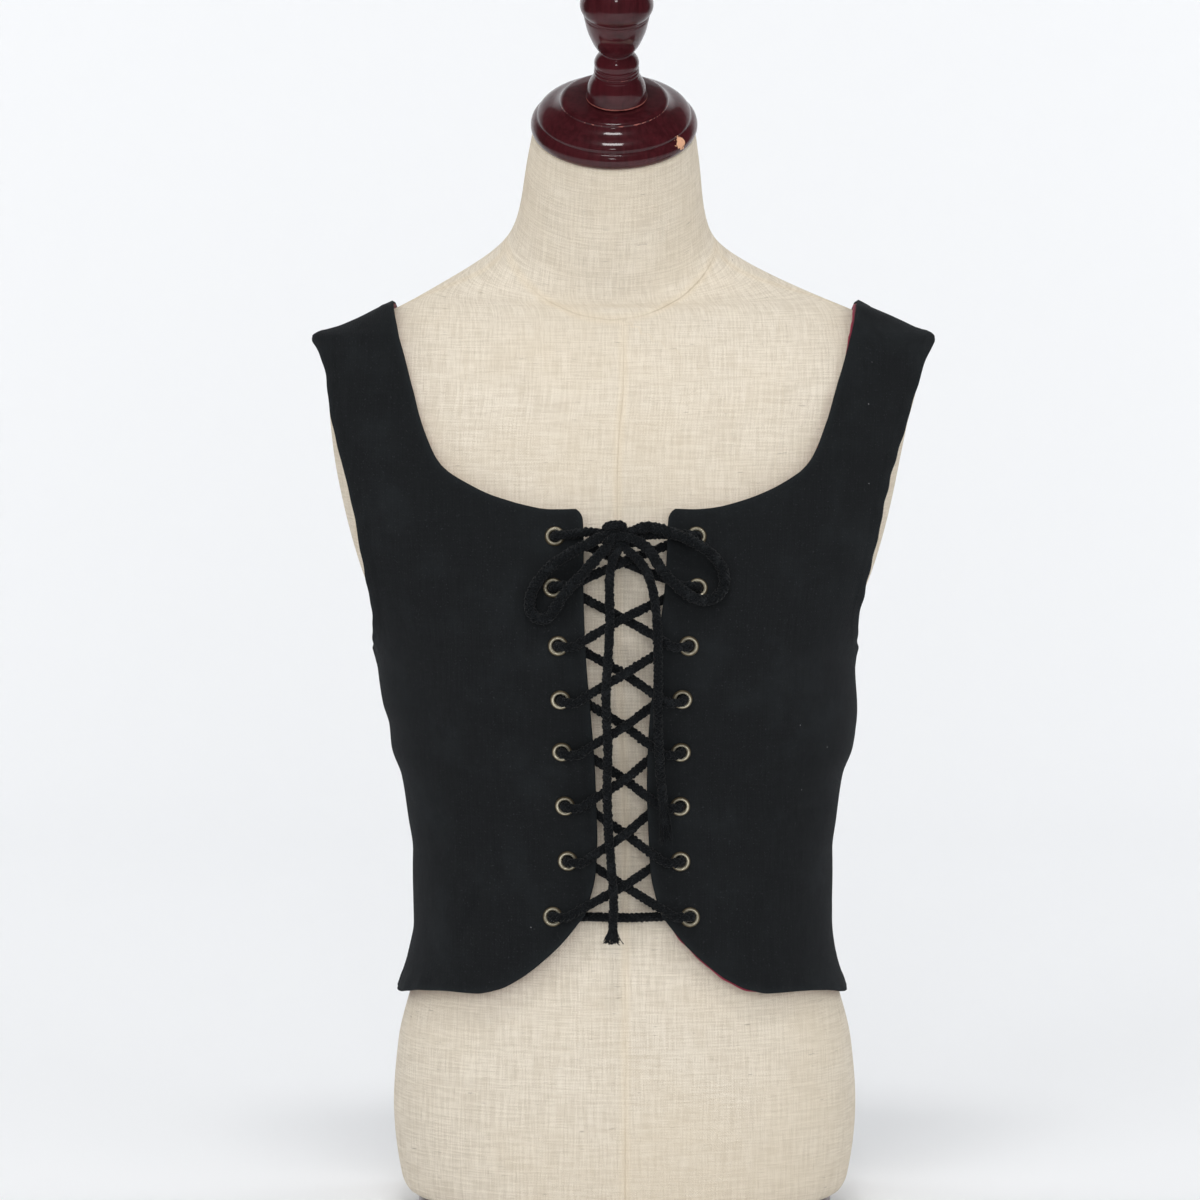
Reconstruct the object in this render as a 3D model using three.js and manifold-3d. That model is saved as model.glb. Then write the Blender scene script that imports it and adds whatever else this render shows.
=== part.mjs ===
// A laced waistcoat of black cloth on a limbless, linen-covered dress form with a turned wooden neck cap.
//
// The waistcoat is worn: two fronts and a one-piece back, cut as cloth walls 2 mm thick, meet at shoulder and
// side seams. Sixteen brass eyelets stand in two columns beside the open centre front. One round braided cord
// crosses the opening between them and ends in a bow with two frayed tails. A dark red lining peeps out at
// the curved hem and at the shoulder of one front. The form is a smooth torso on a flat bottom board.
//
// Millimetres, +Z up, the front faces -Y, +X is to the right of someone who looks at the front.
import * as THREE from "three";
import Module from "manifold-3d";

const wasm = await Module();
wasm.setup();

const RAD = Math.PI / 180;
const SEAM_GAP = 0.3;

// Driving sizes

const CLOTH_THICKNESS = 2;
const HEM_HEIGHT = 145.3;
const UNDERARM_HEIGHT = 364;
const SHOULDER_TIP_HEIGHT = 567.7;
const SHOULDER_NECK_HEIGHT = 590.5;
const BOARD_HEIGHT = 12;
const BOARD_INSET = 3;
const NECK_TOP_HEIGHT = 700;
const CORD_RADIUS = 2.6;

const blackCloth = new THREE.MeshStandardMaterial({ color: 0x212325, roughness: 0.92, metalness: 0 });
const redLining = new THREE.MeshStandardMaterial({ color: 0x7a1530, roughness: 0.8, metalness: 0 });
const linen = new THREE.MeshStandardMaterial({ color: 0xe3d7c5, roughness: 0.95, metalness: 0 });
const darkWood = new THREE.MeshStandardMaterial({ color: 0x4a2026, roughness: 0.25, metalness: 0 });
const agedBrass = new THREE.MeshStandardMaterial({ color: 0x8c7a4e, roughness: 0.4, metalness: 1 });
const blackCord = new THREE.MeshStandardMaterial({ color: 0x17181a, roughness: 0.95, metalness: 0 });

// Sections of the form: half width, depth in front and behind, squareness of the oval, forward tilt in degrees,
// and the section's own middle.
const FORM_SECTIONS = [
  { z: 12, side: 137, front: 87, back: 95, square: 2.3, tilt: 0, y: 0, x: 0 },
  { z: 15, side: 141, front: 91, back: 99, square: 2.3, tilt: 0, y: 0, x: 0 },
  { z: 24, side: 145, front: 94, back: 103, square: 2.3, tilt: 0, y: 0, x: 0 },
  { z: 70, side: 150, front: 98, back: 110, square: 2.3, tilt: 0, y: 0, x: 0 },
  { z: 110, side: 147, front: 97, back: 107, square: 2.3, tilt: 0, y: 0, x: 0 },
  { z: 147, side: 138, front: 94, back: 98, square: 2.3, tilt: 0, y: 0, x: 0 },
  { z: 190, side: 126, front: 88, back: 88, square: 2.3, tilt: 0, y: 0, x: 0 },
  { z: 237, side: 121, front: 84, back: 82, square: 2.3, tilt: 0, y: 0, x: 0 },
  { z: 286, side: 129, front: 90, back: 86, square: 2.35, tilt: 0, y: 0, x: -0.8 },
  { z: 318, side: 137.5, front: 96, back: 90, square: 2.4, tilt: 0, y: 0, x: -1.8 },
  { z: 357, side: 144, front: 101, back: 93, square: 2.45, tilt: 0, y: 0, x: -4 },
  { z: 390, side: 153.5, front: 102, back: 95, square: 2.5, tilt: 0, y: 0, x: -5 },
  { z: 420, side: 165, front: 99, back: 97, square: 2.6, tilt: 0, y: 0, x: -5 },
  { z: 450, side: 173.5, front: 92, back: 98, square: 2.7, tilt: 0, y: 0, x: -5 },
  { z: 480, side: 180, front: 83, back: 96, square: 2.7, tilt: 0, y: 0, x: -5 },
  { z: 510, side: 185, front: 74, back: 91, square: 2.7, tilt: 0, y: 0, x: -4 },
  { z: 540, side: 189, front: 63, back: 81, square: 2.6, tilt: 0, y: 0, x: -1.2 },
  { z: 560, side: 187.5, front: 53, back: 69, square: 2.2, tilt: 0, y: 0, x: -1 },
  { z: 568, side: 182.5, front: 48.5, back: 66, square: 2, tilt: 0, y: 0, x: -1.2 },
  { z: 572, side: 176, front: 47, back: 65, square: 1.88, tilt: 0, y: 0, x: -0.8 },
  { z: 587, side: 141, front: 45, back: 64, square: 1.75, tilt: 0, y: 0, x: -1.5 },
  { z: 597, side: 119.4, front: 47, back: 60, square: 1.85, tilt: 10, y: 5, x: -6 },
  { z: 609, side: 88.3, front: 50, back: 55, square: 2, tilt: 21, y: 8, x: -9 },
  { z: 621, side: 70.5, front: 51, back: 53, square: 2, tilt: 26, y: 6, x: -9.5 },
  { z: 637, side: 61.9, front: 52, back: 52, square: 2, tilt: 28, y: 1, x: -8.8 },
  { z: 655, side: 58, front: 51, back: 51.5, square: 2, tilt: 28, y: -6, x: -8.3 },
  { z: 674, side: 55.8, front: 50, back: 50, square: 2, tilt: 28, y: -14, x: -7.8 },
  { z: NECK_TOP_HEIGHT, side: 51.5, front: 50, back: 50, square: 2, tilt: 28, y: -24, x: -7 },
];

// Sections of the waistcoat's outer face. lean is how far it hangs to the viewer's left of the form's middle,
// and sway is how much further its sides are pulled that way.
const CLOTH_SECTIONS = [
  { z: HEM_HEIGHT, side: 145.7, front: 108, back: 106, square: 2.3, lean: 1.5, sway: 0 },
  { z: 152, side: 143.5, front: 107, back: 104.5, square: 2.3, lean: 1.5, sway: 0 },
  { z: 165, side: 139.5, front: 104, back: 101, square: 2.3, lean: 1.5, sway: 0 },
  { z: 190, side: 135.4, front: 101, back: 96.5, square: 2.3, lean: 1.5, sway: -0.5 },
  { z: 235, side: 135.3, front: 98, back: 91, square: 2.3, lean: 1.3, sway: 0 },
  { z: 256, side: 138.2, front: 99.5, back: 91.5, square: 2.3, lean: 1.5, sway: 0 },
  { z: 285, side: 142.5, front: 103, back: 94, square: 2.35, lean: 2.5, sway: -1 },
  { z: 303, side: 148.8, front: 106, back: 96, square: 2.35, lean: 2.8, sway: -1.3 },
  { z: 318, side: 150.4, front: 108, back: 97, square: 2.4, lean: 3, sway: -1.6 },
  { z: 332, side: 152.8, front: 110, back: 98.5, square: 2.4, lean: 3.2, sway: 0 },
  { z: 357, side: 154.2, front: 112.5, back: 100.5, square: 2.45, lean: 3, sway: 2.5 },
  { z: 390, side: 164, front: 113, back: 102, square: 2.5, lean: 2.2, sway: 4.8 },
  { z: 420, side: 176, front: 110, back: 103.5, square: 2.6, lean: 0.8, sway: 6.7 },
  { z: 450, side: 184, front: 103.5, back: 104, square: 2.7, lean: 0, sway: 6.7 },
  { z: 480, side: 190, front: 94, back: 101, square: 2.7, lean: 0, sway: 6.5 },
  { z: 510, side: 195, front: 83, back: 95, square: 2.7, lean: 0, sway: 5.2 },
  { z: 540, side: 198.5, front: 69, back: 85, square: 2.6, lean: 0, sway: 2.2 },
  { z: 560, side: 200, front: 58, back: 73, square: 2.4, lean: 0, sway: 0.5 },
  { z: SHOULDER_TIP_HEIGHT, side: 199.5, front: 53.5, back: 67, square: 2.3, lean: 0, sway: 0.8 },
  { z: 575, side: 183.5, front: 51.5, back: 64, square: 2.25, lean: 0, sway: 0 },
  { z: SHOULDER_NECK_HEIGHT, side: 149.5, front: 50.5, back: 61.5, square: 2.1, lean: 0, sway: 0 },
  { z: 600, side: 128, front: 51, back: 60, square: 2.1, lean: 0, sway: 0 },
];

// The bust: one soft mound on each side. The cloth bridges the middle, so its mounds are wider inwards.
const BUST = { x: 70, z: 378, outward: 44, up: 52, down: 62 };
const FORM_BUST = { height: 12, inward: 62 };
const CLOTH_BUST = { height: 13, inward: 110 };

// Creases pressed into the cloth: middle, half length, half width, angle from level in degrees, and depth.
const FRONT_CREASES = [
  { x: -112, z: 266, half: 27, wide: 4, turn: 0, deep: 1.6 },
  { x: -94, z: 207, half: 22, wide: 4, turn: 62, deep: 1.5 },
  { x: -78, z: 352, half: 30, wide: 9, turn: -55, deep: 1.5 },
  { x: 118, z: 268, half: 24, wide: 4, turn: 3, deep: 1.6 },
  { x: 92, z: 224, half: 26, wide: 5, turn: -38, deep: 1.3 },
  { x: 104, z: 322, half: 28, wide: 8, turn: 24, deep: 1.4 },
];
const BACK_CREASES = [
  { x: -70, z: 262, half: 42, wide: 7, turn: 8, deep: 2.2 },
  { x: 66, z: 254, half: 46, wide: 7, turn: -6, deep: 2.2 },
  { x: 4, z: 282, half: 30, wide: 6, turn: 2, deep: 1.6 },
  { x: -104, z: 232, half: 26, wide: 5, turn: 30, deep: 1.4 },
  { x: 98, z: 300, half: 28, wide: 6, turn: 22, deep: 1.5 },
];

// Outlines of the cut cloth. x and z lie on the outer face, seen from the front; y is the depth from the side.
const NECKLINE = [
  { x: 31.5, z: 464.5 }, { x: 48.5, z: 464.3 }, { x: 65, z: 466.9 }, { x: 85.5, z: 473 }, { x: 100, z: 479.7 },
  { x: 110.3, z: 485.7 }, { x: 116, z: 490.6 }, { x: 120.5, z: 497 }, { x: 125.5, z: 508 }, { x: 130.1, z: 520.5 },
  { x: 134.8, z: 537 }, { x: 139.8, z: 554 }, { x: 145.5, z: 573 }, { x: 149.5, z: SHOULDER_NECK_HEIGHT },
];
const NECKLINE_BEND = 6;
const FRONT_EDGE = [
  { x: 25, z: 207 }, { x: 20.5, z: 222 }, { x: 18, z: 236 }, { x: 17, z: 263 }, { x: 17.2, z: 299 },
  { x: 19.3, z: 335 }, { x: 22.1, z: 364 }, { x: 24.7, z: 396 }, { x: 26.3, z: 417 }, { x: 27.4, z: 454 },
  { x: 28.6, z: 461.5 }, { x: 31.5, z: 464.5 },
];
const FRONT_HEM = [
  { x: 25, z: 207 }, { x: 37.4, z: 191.3 }, { x: 51, z: 177.4 }, { x: 63.7, z: 166.5 }, { x: 77, z: 158.8 },
  { x: 89, z: 155.6 }, { x: 107, z: 155 }, { x: 127.5, z: 152 }, { x: 144.5, z: HEM_HEIGHT },
];
const FRONT_ARMHOLE = [
  { y: 0, z: UNDERARM_HEIGHT }, { y: 17, z: 366.5 }, { y: 36, z: 375 }, { y: 52, z: 391 }, { y: 60, z: 411 },
  { y: 62.5, z: 427 }, { y: 61.5, z: 451 }, { y: 57, z: 471 }, { y: 50.5, z: 492 }, { y: 41, z: 517 },
  { y: 27, z: 548 }, { y: 14, z: 561.5 }, { y: 0, z: SHOULDER_TIP_HEIGHT },
];
const BACK_NECKLINE = [
  { x: 0, z: 487 }, { x: 40, z: 488 }, { x: 76, z: 492 }, { x: 104, z: 502 }, { x: 122, z: 519 },
  { x: 134, z: 543 }, { x: 144, z: 570 }, { x: 149.5, z: SHOULDER_NECK_HEIGHT },
];
const BACK_NECKLINE_BEND = 3;
const BACK_MIDDLE = [{ x: 0, z: 144 }, { x: 0, z: 487 }];
const BACK_HEM = [{ x: 0, z: 144 }, { x: 80, z: 144 }, { x: 144.5, z: HEM_HEIGHT }];
const BACK_ARMHOLE = [
  { y: 0, z: UNDERARM_HEIGHT }, { y: 15, z: 367 }, { y: 34, z: 378 }, { y: 48, z: 396 }, { y: 57, z: 420 },
  { y: 60, z: 450 }, { y: 58, z: 480 }, { y: 52, z: 510 }, { y: 40, z: 540 }, { y: 22, z: 559 },
  { y: 0, z: SHOULDER_TIP_HEIGHT },
];

// Eyelets, from the top down, at the same height on both fronts.
const EYELETS = [
  { z: 448, left: 44.2, right: 44.9 }, { z: 417, left: 45.4, right: 44.7 }, { z: 381, left: 42.3, right: 39.5 },
  { z: 346.5, left: 40.4, right: 36 }, { z: 312.3, left: 39.6, right: 35 }, { z: 277, left: 38.1, right: 34.5 },
  { z: 241, left: 36.2, right: 35 }, { z: 205.7, left: 46, right: 41 },
];
const EYELET = { hole: 3.5, barrel: 4.1, flange: 6.4, washer: 5.6, crown: 1.4, washerThickness: 0.6 };
const EYELET_HOLE_IN_CLOTH = 4.5;
const EYELET_SIDES = 10;
const PUNCH_REACH = 5;

// Curves through the tables

function steadyCurve(table, key, by = "z") {
  const xs = table.map((row) => row[by]);
  const ys = table.map((row) => row[key]);
  const last = xs.length - 1;
  const rise = xs.slice(1).map((x, i) => (ys[i + 1] - ys[i]) / (x - xs[i]));
  const slope = ys.map((_, i) => {
    if (i === 0) return rise[0];
    if (i === last) return rise[last - 1];
    if (rise[i - 1] * rise[i] <= 0) return 0;
    const before = xs[i] - xs[i - 1];
    const after = xs[i + 1] - xs[i];
    const w1 = 2 * after + before;
    const w2 = after + 2 * before;
    return (w1 + w2) / (w1 / rise[i - 1] + w2 / rise[i]);
  });
  return (x) => {
    let i = 0;
    while (i < last - 1 && x > xs[i + 1]) i += 1;
    const span = xs[i + 1] - xs[i];
    const t = (x - xs[i]) / span;
    const keep = (1 + 2 * t) * (1 - t) ** 2 * ys[i] + t * t * (3 - 2 * t) * ys[i + 1];
    return keep + span * t * (1 - t) * ((1 - t) * slope[i] - t * slope[i + 1]);
  };
}

function sectionCurves(table) {
  const keys = Object.keys(table[0]).filter((key) => key !== "z");
  return Object.fromEntries(keys.map((key) => [key, steadyCurve(table, key)]));
}

const form = sectionCurves(FORM_SECTIONS);
const cloth = sectionCurves(CLOTH_SECTIONS);

function bustMound(x, z, { height, inward }) {
  const across = (Math.abs(x) - BUST.x) / (Math.abs(x) < BUST.x ? inward : BUST.outward);
  const upwards = (z - BUST.z) / (z > BUST.z ? BUST.up : BUST.down);
  return height * Math.exp(-across * across - upwards * upwards);
}

function creaseDepth(x, z, creases) {
  let depth = 0;
  for (const crease of creases) {
    const c = Math.cos(crease.turn * RAD);
    const s = Math.sin(crease.turn * RAD);
    const along = ((x - crease.x) * c + (z - crease.z) * s) / crease.half;
    const across = ((z - crease.z) * c - (x - crease.x) * s) / crease.wide;
    depth += crease.deep * Math.exp(-along * along - across * across);
  }
  return depth;
}

// The form

// angle: 0 at the side, -90 at the middle front and +90 at the middle back; hand: +1 right, -1 left.
function formPoint(angle, z, hand) {
  const power = 2 / form.square(z);
  const out = Math.cos(angle) ** power * form.side(z) * hand;
  const inFront = angle < 0;
  let depth = Math.abs(Math.sin(angle)) ** power * (inFront ? -form.front(z) : form.back(z));
  if (inFront) depth -= bustMound(out, z, FORM_BUST) * (1 - Math.abs(Math.cos(angle)) ** 6);
  const tilt = form.tilt(z) * RAD;
  return new THREE.Vector3(form.x(z) + out, form.y(z) + depth * Math.cos(tilt), z + depth * Math.sin(tilt));
}

function solidFromRings(rings) {
  const around = rings[0].length;
  const points = rings.flat();
  const triangles = [];
  for (let r = 0; r < rings.length - 1; r += 1) {
    for (let i = 0; i < around; i += 1) {
      const a = r * around + i;
      const b = r * around + ((i + 1) % around);
      triangles.push([a, b, b + around], [a, b + around, a + around]);
    }
  }
  const middle = (ring) => ring.reduce((sum, p) => sum.add(p), new THREE.Vector3()).divideScalar(around);
  const bottom = points.push(middle(rings[0])) - 1;
  const top = points.push(middle(rings[rings.length - 1])) - 1;
  const lastRing = (rings.length - 1) * around;
  for (let i = 0; i < around; i += 1) {
    const next = (i + 1) % around;
    triangles.push([bottom, next, i], [top, lastRing + i, lastRing + next]);
  }
  return geometryFrom(points, triangles);
}

function geometryFrom(points, triangles) {
  const geometry = new THREE.BufferGeometry();
  geometry.setAttribute("position", new THREE.Float32BufferAttribute(points.flatMap((p) => [p.x, p.y, p.z]), 3));
  geometry.setIndex(triangles.flat());
  geometry.computeVertexNormals();
  return geometry;
}

function formRing(z, sides, inset = 0, height = z) {
  const ring = [];
  for (let i = 0; i < sides; i += 1) {
    const turn = -Math.PI / 2 + (i / sides) * 2 * Math.PI;
    const hand = Math.cos(turn) >= 0 ? 1 : -1;
    const angle = Math.asin(THREE.MathUtils.clamp(Math.sin(turn), -1, 1));
    const point = formPoint(angle, z, hand);
    point.x *= 1 - inset / form.side(z);
    point.y *= 1 - inset / form.front(z);
    point.z = height + point.z - z;
    ring.push(point);
  }
  return ring;
}

const FORM_SIDES = 36;
const FORM_RING_HEIGHTS = [
  BOARD_HEIGHT, 15, 24, 70, 110, 147, 175, 205, 237, 265, 290, 315, 338, 360, 380, 400, 420, 440, 462, 485, 510,
  532, 550, 562, 569, 575, 582, 589, 597, 606, 616, 628, 645, 670, NECK_TOP_HEIGHT,
];

function makeTorso() {
  const rings = FORM_RING_HEIGHTS.map((z) => {
    const height = z === BOARD_HEIGHT ? z + SEAM_GAP : z;
    return formRing(z, FORM_SIDES, 0, height);
  });
  return solidFromRings(rings);
}

function makeBoard() {
  return solidFromRings([0, BOARD_HEIGHT].map((height) => formRing(BOARD_HEIGHT, FORM_SIDES, BOARD_INSET, height)));
}

// The turned neck cap and its finial: radius and height above the neck's top plane.
const CAP_PROFILE = [
  { r: 0, h: 0 }, { r: 50, h: 0 }, { r: 52, h: 0.8 }, { r: 53, h: 3.2 }, { r: 53, h: 6 }, { r: 51.6, h: 9 },
  { r: 49.4, h: 10.4 }, { r: 48.6, h: 11.9 }, { r: 47, h: 14.2 }, { r: 43, h: 16.4 }, { r: 38.4, h: 17.9 },
  { r: 34.4, h: 20.5 }, { r: 33, h: 22.7 }, { r: 31.4, h: 23.6 }, { r: 0, h: 23.6 },
];
const FINIAL_PROFILE = [
  { r: 0, h: 0 }, { r: 19.2, h: 0 }, { r: 19.7, h: 1.6 }, { r: 18.6, h: 7.4 }, { r: 16.9, h: 12 },
  { r: 14.9, h: 15.4 }, { r: 14, h: 17.6 }, { r: 14.1, h: 21.3 }, { r: 14.1, h: 25.1 }, { r: 12.6, h: 29.6 },
  { r: 10, h: 32.4 }, { r: 12.4, h: 35.6 }, { r: 15.6, h: 41 }, { r: 18, h: 46.6 }, { r: 19.6, h: 51.7 },
  { r: 20.6, h: 56.9 }, { r: 20.8, h: 60.3 }, { r: 22.6, h: 63.4 }, { r: 23.2, h: 66.5 },
  { r: 21.8, h: 72.1 }, { r: 17.4, h: 79.5 }, { r: 10.8, h: 84.5 }, { r: 0, h: 86.5 },
];
const FINIAL_SHIFT = 1.5;
const TURNED_SIDES = 24;

function turnedGeometry(profile, sides = TURNED_SIDES) {
  return new THREE.LatheGeometry(profile.map(({ r, h }) => new THREE.Vector2(r, h)), sides);
}

// The cloth

const SWAY_FADE = 4;

// The outer face of the waistcoat. half is -1 for the front and +1 for the back.
function clothPoint(angle, z, hand, half) {
  const power = 2 / cloth.square(z);
  const across = Math.cos(angle);
  const x = Math.sign(across) * Math.abs(across) ** power * cloth.side(z) * hand;
  const bare = Math.abs(Math.sin(angle)) ** power * (half < 0 ? cloth.front(z) : cloth.back(z));
  const facing = 1 - Math.abs(across) ** 6;
  const creases = creaseDepth(x, z, half < 0 ? FRONT_CREASES : BACK_CREASES);
  const mound = half < 0 ? bustMound(x, z, CLOTH_BUST) : 0;
  const pulled = cloth.sway(z) * (x / cloth.side(z)) ** SWAY_FADE;
  return new THREE.Vector3(x - cloth.lean(z) - pulled, half * (bare + (mound - creases) * facing), z);
}

function clothNormal(angle, z, hand, half) {
  const turn = 0.03;
  const rise = 1.5;
  const from = Math.max(angle - turn, 0.004);
  const along = clothPoint(angle + turn, z, hand, half).sub(clothPoint(from, z, hand, half));
  const up = clothPoint(angle, z + rise, hand, half).sub(clothPoint(angle, z - rise, hand, half));
  if (angle <= turn) along.set(0, half, 0);
  return along.cross(up).normalize().multiplyScalar(half * hand);
}

// A point lifted off the outer face along its normal; a negative lift lies under it.
function lifted(angle, z, hand, half, lift) {
  return clothPoint(angle, z, hand, half).addScaledVector(clothNormal(angle, z, hand, half), lift);
}

// x is counted from the section's own middle here, as it is in the outlines of the cut cloth.
function angleAtX(x, z) {
  return Math.acos(Math.min(1, Math.abs(x) / cloth.side(z)) ** (cloth.square(z) / 2));
}

function angleAtDepth(y, z, half) {
  const reach = half < 0 ? cloth.front(z) : cloth.back(z);
  return Math.asin(Math.min(1, Math.abs(y) / reach) ** (cloth.square(z) / 2));
}

// A place on the front's face by x and z, where x may also lie in the open middle.
function onFront(x, z, lift = 0) {
  const own = x + cloth.lean(z);
  return lifted(angleAtX(own, z), z, own < 0 ? -1 : 1, -1, lift);
}

function splineOf(points) {
  return new THREE.SplineCurve(points.map(([u, v]) => new THREE.Vector2(u, v)));
}

// A chain of curves, read by a number: 0 to 1 is the first stretch, 1 to 2 the second, and so on.
function chain(stretches) {
  return (w) => {
    const i = Math.min(Math.floor(w), stretches.length - 1);
    return stretches[i](w - i);
  };
}

// The shares of the armhole that lie below the neckline's outer end and below its bend.
const ARMHOLE_LOW = 0.34;
const ARMHOLE_HIGH = 0.56;
const HEM_FADE = 1.6;

// One half of a panel as rows of {angle, z}: from the centre edge to the side, and from the hem to the shoulder.
function panelRows({ centre, neckline, bend, hem, armhole, half, counts, columns, lift }) {
  const centreLine = splineOf(centre.map(({ x, z }) => [x, z]));
  const neckLow = splineOf(neckline.slice(0, bend + 1).map(({ x, z }) => [x, z]));
  const neckHigh = splineOf(neckline.slice(bend).map(({ x, z }) => [x, z]));
  const arm = splineOf(armhole.map(({ y, z }) => [y, z]));
  const place = (curve) => (t) => {
    const p = curve.getPointAt(t);
    return { angle: angleAtX(p.x, p.y), z: p.y };
  };
  const armPlace = (t) => {
    const p = arm.getPointAt(t);
    return { angle: angleAtDepth(p.x, p.y, half), z: p.y };
  };
  const inner = chain([place(centreLine), place(neckLow), place(neckHigh)]);
  const sideLength = UNDERARM_HEIGHT - HEM_HEIGHT;
  const armLength = arm.getLength();
  const lowest = (t) => {
    const run = t * (sideLength + ARMHOLE_LOW * armLength);
    if (run < sideLength) return { angle: 0, z: HEM_HEIGHT + run };
    return armPlace((run - sideLength) / armLength);
  };
  const outer = chain([
    lowest,
    (t) => armPlace(ARMHOLE_LOW + t * (ARMHOLE_HIGH - ARMHOLE_LOW)),
    (t) => armPlace(ARMHOLE_HIGH + t * (1 - ARMHOLE_HIGH)),
  ]);
  const hemAt = steadyCurve(hem, "z", "x");
  const rows = [];
  counts.forEach((count, stretch) => {
    for (let k = stretch === 0 ? 0 : 1; k <= count; k += 1) {
      const w = stretch + k / count;
      const a = inner(w);
      const b = outer(w);
      const row = [];
      for (let c = 0; c <= columns; c += 1) {
        const u = c / columns;
        const angle = a.angle + (b.angle - a.angle) * u;
        let z = a.z + (b.z - a.z) * u;
        if (w < lift) {
          const first = inner(0);
          const straight = first.z + (HEM_HEIGHT - first.z) * u;
          const x = clothPoint(first.angle * (1 - u), straight, 1, half).x + cloth.lean(straight);
          z += (hemAt(x) - straight) * (1 - w / lift) ** HEM_FADE;
        }
        row.push({ angle, z });
      }
      rows.push(row);
    }
  });
  return rows;
}

// A wall from rows of places: the outer face, the inner face one thickness under it, and the cut edges.
function wallFromPlaces(places, triangles, half) {
  const seam = new THREE.Vector3(0, half * SEAM_GAP * 0.5, 0);
  const face = (lift) => places.map(({ angle, z, hand }) => lifted(angle, z, hand, half, lift).add(seam));
  return wallBetween(face(0), face(-CLOTH_THICKNESS), triangles);
}

function wallBetween(outerPoints, innerPoints, triangles) {
  const count = outerPoints.length;
  const all = triangles.map((t) => [...t]);
  for (const [a, b, c] of triangles) all.push([c + count, b + count, a + count]);
  const seen = new Map();
  for (const [a, b, c] of triangles) {
    for (const [p, q] of [[a, b], [b, c], [c, a]]) seen.set(`${p},${q}`, [p, q]);
  }
  for (const [p, q] of seen.values()) {
    if (seen.has(`${q},${p}`)) continue;
    all.push([q, p, p + count], [q, p + count, q + count]);
  }
  return geometryFrom([...outerPoints, ...innerPoints], all);
}

function gridTriangles(rows, columns, index, flip) {
  const triangles = [];
  for (let r = 0; r < rows - 1; r += 1) {
    for (let c = 0; c < columns - 1; c += 1) {
      const [a, b] = [index(r, c), index(r, c + 1)];
      const [d, e] = [index(r + 1, c), index(r + 1, c + 1)];
      const pair = [[a, b, e], [a, e, d]];
      for (const t of pair) triangles.push(flip ? [t[0], t[2], t[1]] : t);
    }
  }
  return triangles;
}

const FRONT_ROWS = [18, 5, 7];
const BACK_ROWS = [15, 4, 6];
const PANEL_COLUMNS = 11;

function frontRows() {
  return panelRows({
    centre: FRONT_EDGE, neckline: NECKLINE, bend: NECKLINE_BEND, hem: FRONT_HEM, armhole: FRONT_ARMHOLE,
    half: -1, counts: FRONT_ROWS, columns: PANEL_COLUMNS, lift: 0.5,
  });
}

function makeFront(hand) {
  const rows = frontRows();
  const width = PANEL_COLUMNS + 1;
  const places = rows.flat().map((place) => ({ ...place, hand }));
  const triangles = gridTriangles(rows.length, width, (r, c) => r * width + c, hand < 0);
  const wall = wallFromPlaces(places, triangles, -1);
  const frames = EYELETS.map((eyelet) => eyeletFrame(eyelet, hand, wall));
  return { wall: pierced(wall, frames), frames };
}

function makeBack() {
  const rows = panelRows({
    centre: BACK_MIDDLE, neckline: BACK_NECKLINE, bend: BACK_NECKLINE_BEND, hem: BACK_HEM, armhole: BACK_ARMHOLE,
    half: 1, counts: BACK_ROWS, columns: PANEL_COLUMNS, lift: 0.5,
  });
  const width = PANEL_COLUMNS + 1;
  const places = rows.flat().map((place) => ({ ...place, hand: 1 }));
  const mirrored = new Map();
  rows.forEach((row, r) => row.forEach((place, c) => {
    const onMiddle = c === 0 && r <= BACK_ROWS[0];
    mirrored.set(`${r},${c}`, onMiddle ? r * width : places.push({ ...place, hand: -1 }) - 1);
  }));
  const right = gridTriangles(rows.length, width, (r, c) => r * width + c, true);
  const left = gridTriangles(rows.length, width, (r, c) => mirrored.get(`${r},${c}`), false);
  return wallFromPlaces(places, [...right, ...left], 1);
}

// Joining and cutting

function toManifold(geometry) {
  const vertProperties = new Float32Array(geometry.attributes.position.array);
  const triVerts = new Uint32Array(geometry.index.array);
  return new wasm.Manifold(new wasm.Mesh({ numProp: 3, vertProperties, triVerts }));
}

function fromManifold(solid) {
  const mesh = solid.getMesh();
  const geometry = new THREE.BufferGeometry();
  geometry.setAttribute("position", new THREE.Float32BufferAttribute(mesh.vertProperties, 3));
  geometry.setIndex([...mesh.triVerts]);
  geometry.computeVertexNormals();
  return geometry;
}

const FAR_IN_FRONT = 400;

// Where an eyelet sits: the middle of the wall as built, felt for at the flange's rim, and the way out of it.
function eyeletFrame(row, hand, wall) {
  const x = eyeletX(row, hand);
  const inwards = new THREE.Vector3(0, 1, 0);
  const touch = (across, up) => {
    const ray = new THREE.Raycaster(new THREE.Vector3(x + across, -FAR_IN_FRONT, row.z + up), inwards);
    return ray.intersectObject(new THREE.Mesh(wall))[0].point;
  };
  const rim = EYELET.flange;
  const [toLeft, toRight, below, above] = [touch(-rim, 0), touch(rim, 0), touch(0, -rim), touch(0, rim)];
  const out = toRight.clone().sub(toLeft).cross(above.clone().sub(below)).normalize();
  const at = touch(0, 0).multiplyScalar(2).add(toLeft).add(toRight).add(below).add(above).divideScalar(6);
  return { at: at.addScaledVector(out, -CLOTH_THICKNESS / 2), out };
}

const UP = new THREE.Vector3(0, 1, 0);

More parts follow.
